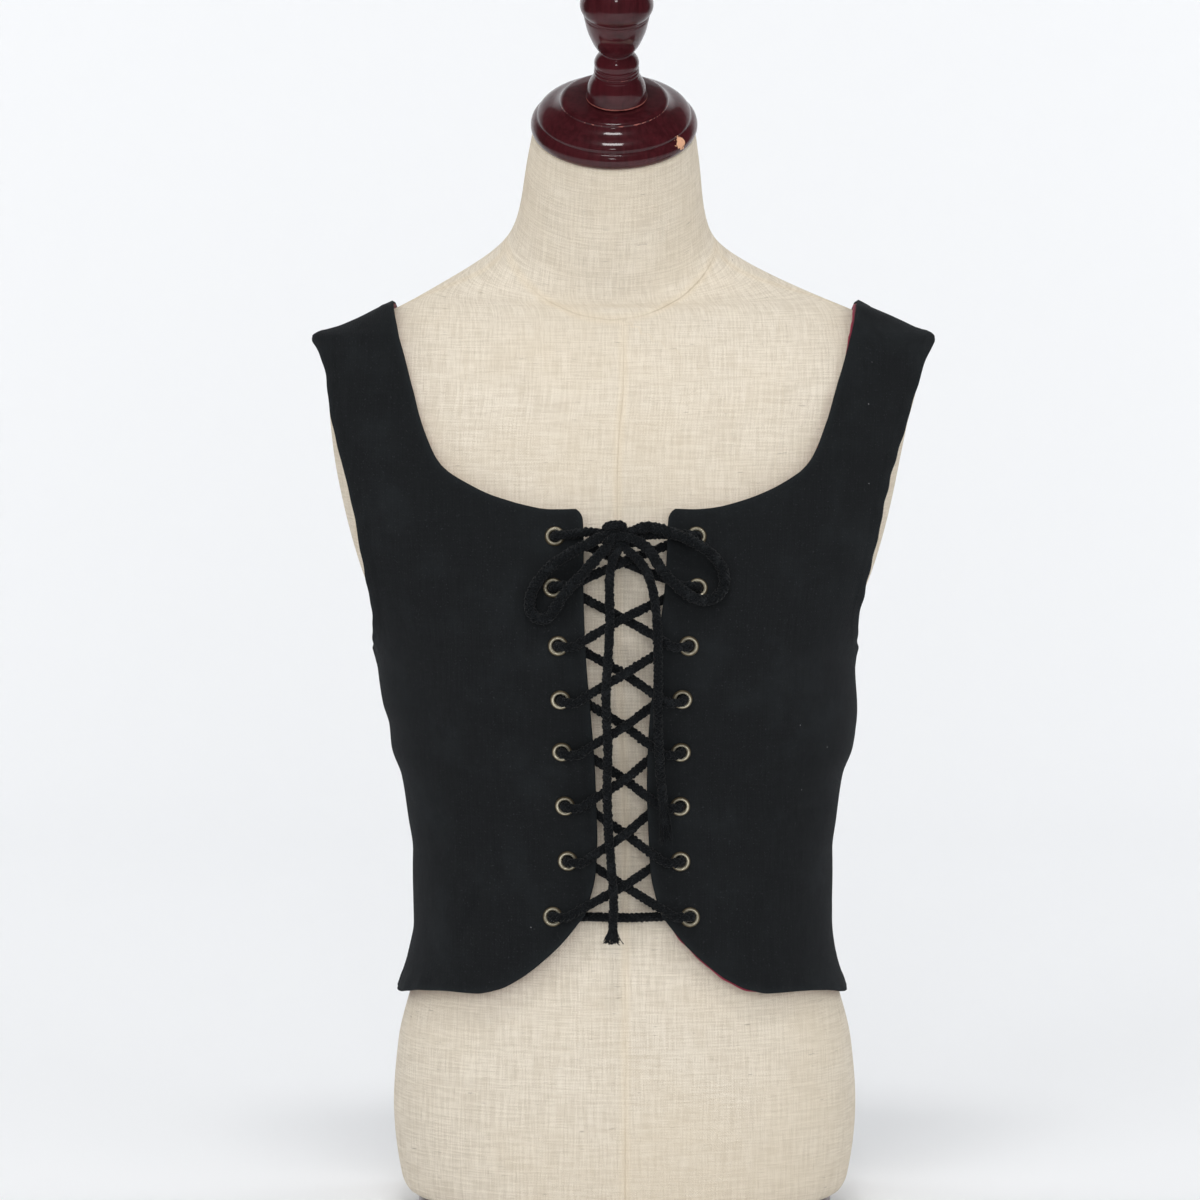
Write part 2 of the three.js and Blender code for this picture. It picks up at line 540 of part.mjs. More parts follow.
function pierced(wall, frames) {
  let solid = toManifold(wall);
  for (const { at, out } of frames) {
    const ring = EYELET_SIDES;
    const punch = [-PUNCH_REACH, PUNCH_REACH].map((height) => Array.from({ length: ring }, (_, i) => {
      const turn = (i / ring) * 2 * Math.PI;
      const radius = EYELET_HOLE_IN_CLOTH;
      return new THREE.Vector3(Math.cos(turn) * radius, height, -Math.sin(turn) * radius)
        .applyQuaternion(new THREE.Quaternion().setFromUnitVectors(UP, out)).add(at);
    }));
    solid = solid.subtract(toManifold(solidFromRings(punch)));
  }
  return fromManifold(solid);
}

// An eyelet: a rolled flange outside, a barrel through the cloth and a washer inside.
function makeEyelet() {
  const face = CLOTH_THICKNESS / 2 + SEAM_GAP;
  const { hole, barrel, flange, washer, crown, washerThickness } = EYELET;
  const profile = [
    { r: hole, h: -face - washerThickness }, { r: washer, h: -face - washerThickness }, { r: washer, h: -face },
    { r: barrel, h: -face }, { r: barrel, h: face }, { r: flange, h: face }, { r: (flange + hole) / 2, h: face + crown },
    { r: hole, h: face + crown / 2 },
  ];
  return turnedGeometry([...profile, profile[0]], EYELET_SIDES);
}

// A strip of the lining under the wall, made from the panel's own places along an edge, that peeps out past it.
const LINING = { gap: 0.3, thickness: 0.4, peep: 1.4, depth: 4.5 };
const LINING_HEM_COLUMNS = { from: 0, to: 4 };
const LINING_SHOULDER_ROWS = 3;

function makeLining(edge, inward) {
  const face = (lift) => edge.flatMap((place, i) => {
    const at = lifted(place.angle, place.z, 1, -1, lift);
    const inside = lifted(inward[i].angle, inward[i].z, 1, -1, lift).sub(at);
    const deep = at.clone().add(inside.setLength(LINING.depth));
    const past = at.clone().sub(inside.setLength(LINING.peep));
    const seam = new THREE.Vector3(0, -SEAM_GAP / 2, 0);
    return [past, at, deep].map((point) => point.add(seam));
  });
  const top = -CLOTH_THICKNESS - LINING.gap;
  return { outer: face(top), inner: face(top - LINING.thickness) };
}

function makeHemLining() {
  const { from, to } = LINING_HEM_COLUMNS;
  const rows = frontRows();
  const { outer, inner } = makeLining(rows[0].slice(from, to + 1), rows[1].slice(from, to + 1));
  return wallBetween(outer, inner, gridTriangles(to + 1 - from, 3, (r, c) => r * 3 + c, true));
}

function makeShoulderLining() {
  const rows = frontRows().slice(-1 - LINING_SHOULDER_ROWS);
  const { outer, inner } = makeLining(rows.map((row) => row[0]), rows.map((row) => row[1]));
  return wallBetween(outer, inner, gridTriangles(LINING_SHOULDER_ROWS + 1, 3, (r, c) => r * 3 + c, false));
}

// The cord. Its route is a list of places on the front: x, z, and the lift of its middle off the cloth.

const UNDER = -6.4;
const UNDER_EDGE = -5.2;
const OVER_EDGE = 3.5;
const OVER_FLANGE = 5.2;
const CROSSING = 2.9;

class CordRoute extends THREE.CatmullRomCurve3 {
  constructor(points) {
    super(points, false, "centripetal");
  }

  getPointAt(u, target) {
    return this.getPoint(u, target);
  }

  getTangentAt(u, target) {
    return this.getTangent(u, target);
  }

  getSpacedPoints(steps) {
    return this.getPoints(steps);
  }
}

function cordTube(places, stepsEach = 1, radius = CORD_RADIUS, sides = 8) {
  const route = new CordRoute(places.map(([x, z, lift]) => onFront(x, z, lift)));
  const section = new THREE.Shape();
  for (let i = 0; i < sides; i += 1) {
    const turn = (i / sides) * 2 * Math.PI;
    section[i === 0 ? "moveTo" : "lineTo"](Math.cos(turn) * radius, Math.sin(turn) * radius);
  }
  const steps = (places.length - 1) * stepsEach;
  return new THREE.ExtrudeGeometry(section, { steps, extrudePath: route, curveSegments: 1 });
}

// How far the cord runs straight from an eyelet's middle, and how far it has sunk or climbed at the cloth's edge.
const EYELET_CLEARANCE = 9.5;
const EDGE_DROP = 5;

function eyeletX(row, hand) {
  return hand * (hand < 0 ? row.left : row.right);
}

// The half turn through an eyelet, from the side that comes over the flange down to the side under the cloth.
function throughEyelet(x, z, hand) {
  const towardsGap = -hand;
  return [
    [x + towardsGap * EYELET_CLEARANCE, z, OVER_FLANGE],
    [x + towardsGap * 4.8, z, OVER_FLANGE - 0.1],
    [x + towardsGap * 0.9, z, 3.4],
    [x - towardsGap * 0.4, z, -0.6],
    [x + towardsGap * 0.9, z, -4.8],
    [x + towardsGap * 5, z, UNDER],
    [x + towardsGap * EYELET_CLEARANCE, z, UNDER],
  ];
}

const frontEdgeAt = steadyCurve(FRONT_EDGE, "x");

// A diagonal from under the cloth at one eyelet to over the cloth at the next eyelet on the other side.
function diagonal(from, to, fromHand, crossing) {
  const start = { x: eyeletX(from, fromHand) - fromHand * EYELET_CLEARANCE, z: from.z };
  const end = { x: eyeletX(to, -fromHand) + fromHand * EYELET_CLEARANCE, z: to.z };
  const at = (x) => start.z + ((x - start.x) / (end.x - start.x)) * (end.z - start.z);
  const edgeFrom = fromHand * frontEdgeAt(start.z - EDGE_DROP) - cloth.lean(start.z);
  const edgeTo = -fromHand * frontEdgeAt(end.z + EDGE_DROP) - cloth.lean(end.z);
  return [
    [edgeFrom, at(edgeFrom), UNDER_EDGE],
    [0, at(0), crossing],
    [edgeTo, at(edgeTo), OVER_EDGE],
  ];
}

const KNOT = { x: -3.2, z: 447.2, lift: 9.5, wide: 11, high: 8.5, deep: 6.2, clear: 1 };
const KNOT_LACING_LIFT = 5.2;

function zigzag(firstHand, crossings) {
  const places = [];
  let hand = firstHand;
  for (let i = 0; i < EYELETS.length; i += 1) {
    const row = EYELETS[i];
    places.push(...throughEyelet(eyeletX(row, hand), row.z, hand));
    if (i === EYELETS.length - 1) break;
    const crossing = crossings(hand);
    places.push(...diagonal(row, EYELETS[i + 1], hand, crossing));
    hand = -hand;
  }
  return places;
}

function lacingPlaces() {
  const crossing = (fromHand) => (fromHand > 0 ? CROSSING : -CROSSING);
  const left = [knotPort(172, KNOT_LACING_LIFT), [-22.3, 449.8, 4.9], ...zigzag(-1, crossing)];
  const right = [knotPort(0, KNOT_LACING_LIFT), [20, 448.2, 4.9], ...zigzag(1, crossing)];
  const middle = [[0, 205, UNDER_EDGE]];
  return [...left, ...middle, ...right.reverse()];
}

// Where a cord comes out of the knot: a place just clear of the knot's face, by its direction in degrees.
function knotPort(turn, lift) {
  const x = KNOT.x + Math.cos(turn * RAD) * (KNOT.wide + KNOT.clear);
  return [x, KNOT.z + Math.sin(turn * RAD) * (KNOT.high + KNOT.clear), lift];
}

const LEFT_LOOP = [
  knotPort(187, 10.8), [-21.8, 441.9, 11], [-30, 437.6, 10.8], [-37.7, 433.6, 10], [-45.3, 428.7, 8.8],
  [-51.5, 423, 7.4], [-56.2, 416.6, 6.2], [-59.2, 409.6, 5.3], [-59.2, 402.8, 4.8], [-55.3, 397.9, 4.8],
  [-49.6, 397.6, 5.2], [-44.8, 401.6, 7.2], [-41, 407.4, 9.6], [-36, 413.4, 11], [-30.4, 419.4, 11],
  [-24.7, 425.4, 10.8], [-19.3, 431.4, 10.6], [-14.8, 436.2, 10.4], knotPort(232, 10),
];
const RIGHT_LOOP = [
  knotPort(20, 10.6), [12.8, 451.6, 10.8], [20, 450.6, 10.9], [28.5, 447.8, 11], [38.6, 444, 10.8],
  [47.2, 439.6, 9.8], [54.4, 434.2, 8.2], [59.6, 427.8, 6.6], [61.6, 420.8, 5.6], [60, 414, 5],
  [55.4, 409.6, 5], [49, 408.2, 6], [42.2, 409.4, 8.4], [35.6, 412.8, 10.6], [29.8, 418, 11], [24, 424, 10.8],
  [19, 430.8, 10.6], [15, 437.2, 10.4], knotPort(335, 10),
];
const LEFT_TAIL = [
  knotPort(262, 9.2), [-8, 432.8, 8.9], [-10.2, 422, 8.8], [-10.7, 393, 8.8], [-11.8, 374, 8.8],
  [-12.8, 355, 8.8], [-12.3, 337, 8.8], [-11.2, 315, 8.8], [-11.5, 293, 8.8], [-10.4, 261, 8.8],
  [-9.1, 245, 8.8], [-7.8, 229, 8.8], [-7.4, 214, 8.8], [-7.8, 198.4, 8.8],
];
const RIGHT_TAIL = [
  knotPort(287, 9.2), [6.5, 433.6, 9], [12.6, 426, 9], [17.2, 414.4, 9.1], [20.2, 393, 9.3], [20.7, 374, 9.5],
  [20.6, 355, 9.6], [20.3, 337, 9.6], [20.8, 319, 9.8], [21.7, 299, 10.2], [22.8, 284, 10.8],
];
const LEFT_FRAY = { long: 9.5, top: 2.7, bottom: 4.8 };
const RIGHT_FRAY = { long: 30, top: 2.6, bottom: 3.4 };

function makeKnot() {
  return new THREE.SphereGeometry(1, 14, 10).scale(KNOT.wide, KNOT.deep, KNOT.high);
}

// The waistcoat on its form

const figure = new THREE.Group();
const freeCords = new THREE.Group();

function add(group, name, geometry, material) {
  const mesh = new THREE.Mesh(geometry, material);
  mesh.name = name;
  group.add(mesh);
  return mesh;
}

function setOnAxis(mesh, at, axis) {
  mesh.position.copy(at);
  mesh.quaternion.setFromUnitVectors(UP, axis);
}

add(figure, "form_board", makeBoard(), darkWood);
add(figure, "form_torso", makeTorso(), linen);

const neckTilt = form.tilt(NECK_TOP_HEIGHT) * RAD;
const neckAxis = new THREE.Vector3(0, -Math.sin(neckTilt), Math.cos(neckTilt));
const neckTop = new THREE.Vector3(form.x(NECK_TOP_HEIGHT), form.y(NECK_TOP_HEIGHT), NECK_TOP_HEIGHT);
const capFoot = neckTop.clone().addScaledVector(neckAxis, SEAM_GAP);
const capHeight = CAP_PROFILE[CAP_PROFILE.length - 1].h;
const finialFoot = capFoot.clone().addScaledVector(neckAxis, capHeight + SEAM_GAP);
finialFoot.x += FINIAL_SHIFT;
setOnAxis(add(figure, "form_neck_cap", turnedGeometry(CAP_PROFILE), darkWood), capFoot, neckAxis);
setOnAxis(add(figure, "form_finial", turnedGeometry(FINIAL_PROFILE, 18), darkWood), finialFoot, neckAxis);

for (const [hand, sideName] of [[-1, "left"], [1, "right"]]) {
  const { wall, frames } = makeFront(hand);
  add(figure, `waistcoat_front_${sideName}`, wall, blackCloth);
  frames.forEach(({ at, out }, i) => {
    setOnAxis(add(figure, `eyelet_${sideName}_${i + 1}`, makeEyelet(), agedBrass), at, out);
  });
}
add(figure, "waistcoat_back", makeBack(), blackCloth);
add(figure, "lining_hem_right", makeHemLining(), redLining);
add(figure, "lining_shoulder_right", makeShoulderLining(), redLining);

function setFray(mesh, tail, fray) {
  const end = onFront(...tail[tail.length - 1]);
  const before = onFront(...tail[tail.length - 2]);
  const down = end.clone().sub(before).normalize();
  setOnAxis(mesh, end.addScaledVector(down, fray.long / 2 + SEAM_GAP), down.negate());
}

add(figure, "lace_lacing", cordTube(lacingPlaces()), blackCord);
add(figure, "lace_knot", makeKnot(), blackCord).position.copy(onFront(KNOT.x, KNOT.z, KNOT.lift));
add(freeCords, "lace_loop_left", cordTube(LEFT_LOOP), blackCord);
add(freeCords, "lace_loop_right", cordTube(RIGHT_LOOP), blackCord);
add(freeCords, "lace_tail_left", cordTube(LEFT_TAIL), blackCord);
add(freeCords, "lace_tail_right", cordTube(RIGHT_TAIL), blackCord);
for (const [name, tail, fray] of [["left", LEFT_TAIL, LEFT_FRAY], ["right", RIGHT_TAIL, RIGHT_FRAY]]) {
  const brush = new THREE.CylinderGeometry(fray.top, fray.bottom, fray.long, 10);
  setFray(add(freeCords, `lace_fray_${name}`, brush, blackCord), tail, fray);
}

// The origin is on the floor, under the middle of all but the free cords.
figure.updateMatrixWorld(true);
const reach = new THREE.Box3().setFromObject(figure, true);
const whole = new THREE.Group();
whole.add(figure, freeCords);
whole.position.set(0, -(reach.min.y + reach.max.y) / 2, -reach.min.z);

export default whole;
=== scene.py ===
"""A laced black waistcoat on a limbless linen dress form with a turned wooden neck cap.

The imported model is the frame: the form and the cloth are worked out from the same sections as its solids, and
the lace follows the same route. Metres, +Z up, the laced front faces -Y.
"""
import math

import bpy
import numpy as np
from mathutils import Matrix, Vector


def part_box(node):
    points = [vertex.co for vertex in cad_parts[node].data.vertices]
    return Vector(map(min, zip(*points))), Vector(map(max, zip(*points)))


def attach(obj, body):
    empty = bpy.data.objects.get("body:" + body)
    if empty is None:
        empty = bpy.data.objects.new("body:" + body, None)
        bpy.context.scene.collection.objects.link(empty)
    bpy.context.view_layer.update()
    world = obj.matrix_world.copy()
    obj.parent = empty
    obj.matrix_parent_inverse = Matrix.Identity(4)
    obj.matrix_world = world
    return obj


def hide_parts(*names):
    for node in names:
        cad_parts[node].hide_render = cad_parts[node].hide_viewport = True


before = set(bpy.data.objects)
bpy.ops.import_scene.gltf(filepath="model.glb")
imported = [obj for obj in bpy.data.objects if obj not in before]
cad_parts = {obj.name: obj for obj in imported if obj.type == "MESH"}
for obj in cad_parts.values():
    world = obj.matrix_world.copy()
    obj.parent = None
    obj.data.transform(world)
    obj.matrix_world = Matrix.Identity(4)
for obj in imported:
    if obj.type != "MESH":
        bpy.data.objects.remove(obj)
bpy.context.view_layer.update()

# The two fronts
# Black cotton cut close to the body, each front sewn face to face with its red lining and then turned, so
# that the free edges are soft rolls without a stitch to be seen. Sixteen holes take the eyelets, and the
# hem curves up to the opening.
SEAM_GAP = 0.00015
seam_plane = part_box("waistcoat_back")[0].y - SEAM_GAP
CLOTH_THICKNESS = 0.002
HEM_HEIGHT = 0.1453
UNDERARM_HEIGHT = 0.364
SHOULDER_TIP_HEIGHT = 0.5677
SHOULDER_NECK_HEIGHT = 0.5905
# height, half width, depth in front, depth behind, squareness of the oval, lean to the viewer's left, and how
# much further the sides are pulled that way
CLOTH_SECTIONS = np.array([
    (0.1453, 0.1457, 0.108, 0.106, 2.3, 0.0015, 0),
    (0.152, 0.1435, 0.107, 0.1045, 2.3, 0.0015, 0),
    (0.165, 0.1395, 0.104, 0.101, 2.3, 0.0015, 0),
    (0.19, 0.1354, 0.101, 0.0965, 2.3, 0.0015, -0.0005),
    (0.235, 0.1353, 0.098, 0.091, 2.3, 0.0013, 0),
    (0.256, 0.1382, 0.0995, 0.0915, 2.3, 0.0015, 0),
    (0.285, 0.1425, 0.103, 0.094, 2.35, 0.0025, -0.001),
    (0.303, 0.1488, 0.106, 0.096, 2.35, 0.0028, -0.0013),
    (0.318, 0.1504, 0.108, 0.097, 2.4, 0.003, -0.0016),
    (0.332, 0.1528, 0.11, 0.0985, 2.4, 0.0032, 0),
    (0.357, 0.1542, 0.1125, 0.1005, 2.45, 0.003, 0.0025),
    (0.39, 0.164, 0.113, 0.102, 2.5, 0.0022, 0.0048),
    (0.42, 0.176, 0.11, 0.1035, 2.6, 0.0008, 0.0067),
    (0.45, 0.184, 0.1035, 0.104, 2.7, 0, 0.0067),
    (0.48, 0.19, 0.094, 0.101, 2.7, 0, 0.0065),
    (0.51, 0.195, 0.083, 0.095, 2.7, 0, 0.0052),
    (0.54, 0.1985, 0.069, 0.085, 2.6, 0, 0.0022),
    (0.56, 0.2, 0.058, 0.073, 2.4, 0, 0.0005),
    (0.5677, 0.1995, 0.0535, 0.067, 2.3, 0, 0.0008),
    (0.575, 0.1835, 0.0515, 0.064, 2.25, 0, 0),
    (0.5905, 0.1495, 0.0505, 0.0615, 2.1, 0, 0),
    (0.6, 0.128, 0.051, 0.06, 2.1, 0, 0),])
SWAY_FADE = 4
BUST_MIDDLE = (0.070, 0.378)
BUST_REACH = {"outward": 0.044, "up": 0.052, "down": 0.062}
CLOTH_BUST = {"height": 0.013, "inward": 0.110}
# middle x and z, half length, half width, turn from level in degrees, depth
FRONT_CREASES = (
    (-0.112, 0.266, 0.027, 0.004, 0, 0.0016), (-0.094, 0.207, 0.022, 0.004, 62, 0.0015),
    (-0.078, 0.352, 0.030, 0.009, -55, 0.0015), (0.118, 0.268, 0.024, 0.004, 3, 0.0016),
    (0.092, 0.224, 0.026, 0.005, -38, 0.0013), (0.104, 0.322, 0.028, 0.008, 24, 0.0014),
)
BACK_CREASES = (
    (-0.070, 0.262, 0.042, 0.007, 8, 0.0022), (0.066, 0.254, 0.046, 0.007, -6, 0.0022),
    (0.004, 0.282, 0.030, 0.006, 2, 0.0016), (-0.104, 0.232, 0.026, 0.005, 30, 0.0014),
    (0.098, 0.300, 0.028, 0.006, 22, 0.0015),
)
# Outlines of the cut: x and height on the front's face, or depth from the side seam and height
NECKLINE = (
    (0.0315, 0.4645), (0.0485, 0.4643), (0.065, 0.4669), (0.0855, 0.473), (0.1, 0.4797), (0.1103, 0.4857),
    (0.116, 0.4906), (0.1205, 0.497), (0.1255, 0.508), (0.1301, 0.5205), (0.1348, 0.537), (0.1398, 0.554),
    (0.1455, 0.573), (0.1495, SHOULDER_NECK_HEIGHT),
)
NECKLINE_BEND = 6
FRONT_EDGE = (
    (0.025, 0.207), (0.0205, 0.222), (0.018, 0.236), (0.017, 0.263), (0.0172, 0.299), (0.0193, 0.335),
    (0.0221, 0.364), (0.0247, 0.396), (0.0263, 0.417), (0.0274, 0.454), (0.0286, 0.4615), (0.0315, 0.4645),
)
FRONT_HEM = (
    (0.025, 0.207), (0.0374, 0.1913), (0.051, 0.1774), (0.0637, 0.1665), (0.077, 0.1588), (0.089, 0.1556),
    (0.107, 0.155), (0.1275, 0.152), (0.1445, HEM_HEIGHT),
)
FRONT_ARMHOLE = (
    (0, UNDERARM_HEIGHT), (0.017, 0.3665), (0.036, 0.375), (0.052, 0.391), (0.06, 0.411), (0.0625, 0.427),
    (0.0615, 0.451), (0.057, 0.471), (0.0505, 0.492), (0.041, 0.517), (0.027, 0.548), (0.014, 0.5615),
    (0, SHOULDER_TIP_HEIGHT),
)
# height, x on the viewer's left, x on the right
EYELETS = (
    (0.448, -0.0442, 0.0449), (0.417, -0.0454, 0.0447), (0.381, -0.0423, 0.0395), (0.3465, -0.0404, 0.036),
    (0.3123, -0.0396, 0.035), (0.277, -0.0381, 0.0345), (0.241, -0.0362, 0.035), (0.2057, -0.046, 0.041),
)
EYELET_HOLE = 0.0046
LONGEST_HOLE_RIM = 60
FRONT_ROWS = (130, 40, 60)
PANEL_COLUMNS = 104
LOWER_ARMHOLE, MIDDLE_ARMHOLE = 0.34, 0.56
HEM_FADE = 1.6
TURNED_EDGE, SEWN_EDGE = 0.0009, 0.00035
# The relief of the cloth: how high or deep each form is, and how far it reaches
ROLL_HEIGHT, ROLL_WIDTH, ROLL_FADE = 0.00035, 0.0065, 0.003
SEAM_DIP, SEAM_REACH = 0.0004, 0.004
FRONT_WAVES, FRONT_WAVE_LENGTH, SHORTEST_WAVE = 0.0005, 0.11, 0.035
CALM_REACH, CALM_EDGE = 0.02, 0.25
PUCKERS, PUCKER_LENGTHS, PUCKER_REACH = 0.0004, (0.022, 0.013), 0.007
LACE_PULL, PULL_SPACING, PULL_FROM, PULL_REACH = 0.0004, 0.0346, 0.012, 0.018
EYELET_DIP, EYELET_REACH = 0.0007, 0.0075
WORN_REACH = 0.0025


def steady_curve(xs, ys):
    """A smooth curve through a table's values that never swings past them."""
    xs, ys = np.asarray(xs, float), np.asarray(ys, float)
    span, rise = np.diff(xs), np.diff(ys) / np.diff(xs)
    slope = np.empty_like(ys)
    slope[0], slope[-1] = rise[0], rise[-1]
    first, second = 2 * span[1:] + span[:-1], span[1:] + 2 * span[:-1]
    same_way = rise[:-1] * rise[1:] > 0
    before, after = np.where(same_way, rise[:-1], 1), np.where(same_way, rise[1:], 1)
    slope[1:-1] = np.where(same_way, (first + second) / (first / before + second / after), 0)

    def at(x):
        x = np.asarray(x, float)
        i = np.clip(np.searchsorted(xs, x, "right") - 1, 0, len(xs) - 2)
        t = (x - xs[i]) / span[i]
        straight = (1 + 2 * t) * (1 - t) ** 2 * ys[i] + t * t * (3 - 2 * t) * ys[i + 1]
        return straight + span[i] * t * (1 - t) * ((1 - t) * slope[i] - t * slope[i + 1])

    return at


def sections_as_curves(table, names):
    """A table's columns as smooth curves over the height, by name."""
    return {name: steady_curve(table[:, 0], table[:, i + 1]) for i, name in enumerate(names)}


cloth = sections_as_curves(CLOTH_SECTIONS, ("side", "front", "back", "square", "lean", "sway"))


def bust_mound(x, z, height, inward):
    """How far a soft mound on each side stands out at x and z."""
    reach = np.where(np.abs(x) < BUST_MIDDLE[0], inward, BUST_REACH["outward"])
    across = (np.abs(x) - BUST_MIDDLE[0]) / reach
    upwards = (z - BUST_MIDDLE[1]) / np.where(z > BUST_MIDDLE[1], BUST_REACH["up"], BUST_REACH["down"])
    return height * np.exp(-across ** 2 - upwards ** 2)


def heading(degrees):
    """The cosine and the sine of an angle."""
    return math.cos(math.radians(degrees)), math.sin(math.radians(degrees))


def crease_depth(x, z, creases):
    """The depth of all creases at x and z, each a soft groove with its own middle, length, width and turn."""
    depth = 0
    for middle_x, middle_z, half_length, half_width, turn, deep in creases:
        c, s = heading(turn)
        along = ((x - middle_x) * c + (z - middle_z) * s) / half_length
        across = ((z - middle_z) * c - (x - middle_x) * s) / half_width
        depth = depth + deep * np.exp(-along ** 2 - across ** 2)
    return depth


def cloth_point(angle, z, hand, half):
    """A point of the outer face. angle is 0 at the side seam and 90 degrees in the middle; half is -1 in
    front and 1 behind."""
    power = 2 / cloth["square"](z)
    across = np.cos(angle)
    x = np.sign(across) * np.abs(across) ** power * cloth["side"](z) * hand
    bare = np.abs(np.sin(angle)) ** power * cloth["front" if half < 0 else "back"](z)
    facing = 1 - np.abs(across) ** 6
    creases = crease_depth(x, z, FRONT_CREASES if half < 0 else BACK_CREASES)
    mound = bust_mound(x, z, **CLOTH_BUST) if half < 0 else 0
    y = half * (bare + (mound - creases) * facing)
    pulled = cloth["sway"](z) * (x / cloth["side"](z)) ** SWAY_FADE
    return np.stack([x - cloth["lean"](z) - pulled, seam_plane + y, z + 0 * x], -1)


def cloth_normal(angle, z, hand, half):
    """The way out of the cloth, square to its outer face."""
    turn, least_turn, rise = 0.02, 0.004, 0.001
    before = cloth_point(np.maximum(angle - turn, least_turn), z, hand, half)
    along = cloth_point(angle + turn, z, hand, half) - before
    on_seam = (np.asarray(angle) <= turn)[..., None]
    along = np.where(on_seam, np.array((0.0, half, 0.0)), along)
    up = cloth_point(angle, z + rise, hand, half) - cloth_point(angle, z - rise, hand, half)
    out = np.cross(along, up) * np.asarray(half * hand)[..., None]
    return out / np.linalg.norm(out, axis=-1, keepdims=True)


def angle_at_x(x, z):
    """The angle at which a section of the cloth has that x, counted from the section's own middle."""
    return np.arccos(np.minimum(1, np.abs(x) / cloth["side"](z)) ** (cloth["square"](z) / 2))


def angle_at_depth(depth, z, half):
    """The angle at which a section of the cloth lies that far from the seam plane."""
    reach = cloth["front" if half < 0 else "back"](z)
    return np.arcsin(np.minimum(1, np.abs(depth) / reach) ** (cloth["square"](z) / 2))


def on_front(x, z, lift=0.0):
    """Points by x and z on the fronts' face, or lifted off it; x may also lie in the open middle."""
    x, z, lift = (np.atleast_1d(np.asarray(v, float)) for v in (x, z, lift))
    own = x + cloth["lean"](z)
    hand = np.where(own < 0, -1.0, 1.0)
    angle = angle_at_x(own, z)
    return cloth_point(angle, z, hand, -1) + cloth_normal(angle, z, hand, -1) * lift[:, None]


def outline(points, steps=400):
    """Evenly spaced points along a smooth flat curve through the given ones."""
    knots = np.array(points, float)
    knots = np.vstack([knots[:1], knots, knots[-1:]])
    t = np.linspace(0, len(points) - 1, steps * 4 + 1)
    i = np.minimum(t.astype(int), len(points) - 2)
    s = (t - i)[:, None]
    a, b, c, d = (knots[i + k] for k in range(4))
    bend, twist = 2 * a - 5 * b + 4 * c - d, 3 * b - a - 3 * c + d
    fine = 0.5 * (2 * b + (c - a) * s + bend * s ** 2 + twist * s ** 3)
    return evenly(fine, steps)


def evenly(line, steps):
    """The same line with evenly spaced points."""
    run = np.concatenate([[0], np.cumsum(np.linalg.norm(np.diff(line, axis=0), axis=1))])
    even = np.linspace(0, run[-1], steps + 1)
    return np.stack([np.interp(even, run, line[:, k]) for k in range(line.shape[1])], -1)


def along(line, share):
    """Points at the given shares of a line of evenly spaced points."""
    ticks = np.linspace(0, 1, len(line))
    return np.stack([np.interp(share, ticks, line[:, k]) for k in range(line.shape[1])], -1)


def length_of(line):
    """The length of a line of points."""
    return float(np.linalg.norm(np.diff(line, axis=0), axis=1).sum())


def panel_grid(centre, neckline, bend, hem, armhole, half, rows, lift=0.5):
    """Angles and heights of half a panel's grid: each row runs from the centre or the neckline to the side."""
    stretch = np.concatenate([k + np.arange(0 if k == 0 else 1, n + 1) / n for k, n in enumerate(rows)])
    part = np.minimum(np.ceil(stretch).astype(int) - 1, 2).clip(0)
    t = stretch - part
    inner = np.zeros((len(stretch), 2))
    for k, points in enumerate((centre, neckline[:bend + 1], neckline[bend:])):
        place = along(outline(points), t[part == k])
        inner[part == k] = np.stack([angle_at_x(place[:, 0], place[:, 1]), place[:, 1]], -1)
    arm = outline(armhole)
    arm_length = length_of(arm)
    side_length = UNDERARM_HEIGHT - HEM_HEIGHT
    run = t * (side_length + LOWER_ARMHOLE * arm_length)
    share = np.select(
        [part == 0, part == 1, part == 2],
        [(run - side_length) / arm_length, LOWER_ARMHOLE + t * (MIDDLE_ARMHOLE - LOWER_ARMHOLE),
         MIDDLE_ARMHOLE + t * (1 - MIDDLE_ARMHOLE)])
    on_arm = along(arm, np.clip(share, 0, 1))
    outer = np.stack([angle_at_depth(on_arm[:, 0], on_arm[:, 1], half), on_arm[:, 1]], -1)
    on_side = share < 0
    outer[on_side] = np.stack([np.zeros(on_side.sum()), HEM_HEIGHT + run[on_side]], -1)
    across = np.linspace(0, 1, PANEL_COLUMNS + 1)
    grid = inner[:, None] + (outer - inner)[:, None] * across[None, :, None]
    straight = inner[0, 1] + (HEM_HEIGHT - inner[0, 1]) * across
    x = cloth_point(inner[0, 0] * (1 - across), straight, 1, half)[:, 0] + cloth["lean"](straight)
    dip = steady_curve(*zip(*hem))(x) - straight
    grid[..., 1] += dip * (np.maximum(0, 1 - stretch / lift) ** HEM_FADE)[:, None]
    return grid[..., 0], grid[..., 1], on_side


def soft_unevenness(points, seed, longest, shortest, waves=26):
    """A gentle random relief of about -1 to 1, the sum of many slow waves."""
    rng = np.random.default_rng(seed)
    total = np.zeros(len(points))
    for _ in range(waves):
        way = rng.normal(size=3)
        way /= np.linalg.norm(way)
        length = rng.uniform(shortest, longest)
        total += np.sin(points @ way * (2 * math.pi / length) + rng.uniform(0, 2 * math.pi))
    return total / math.sqrt(waves)


def distance_to(points, targets):
    """The distance from each point to the nearest target."""
    nearest = np.full(len(points), 1.0)
    for start in range(0, len(targets), 100):
        gap = np.linalg.norm(points[:, None] - targets[None, start:start + 100], axis=2)
        nearest = np.minimum(nearest, gap.min(1))
    return nearest


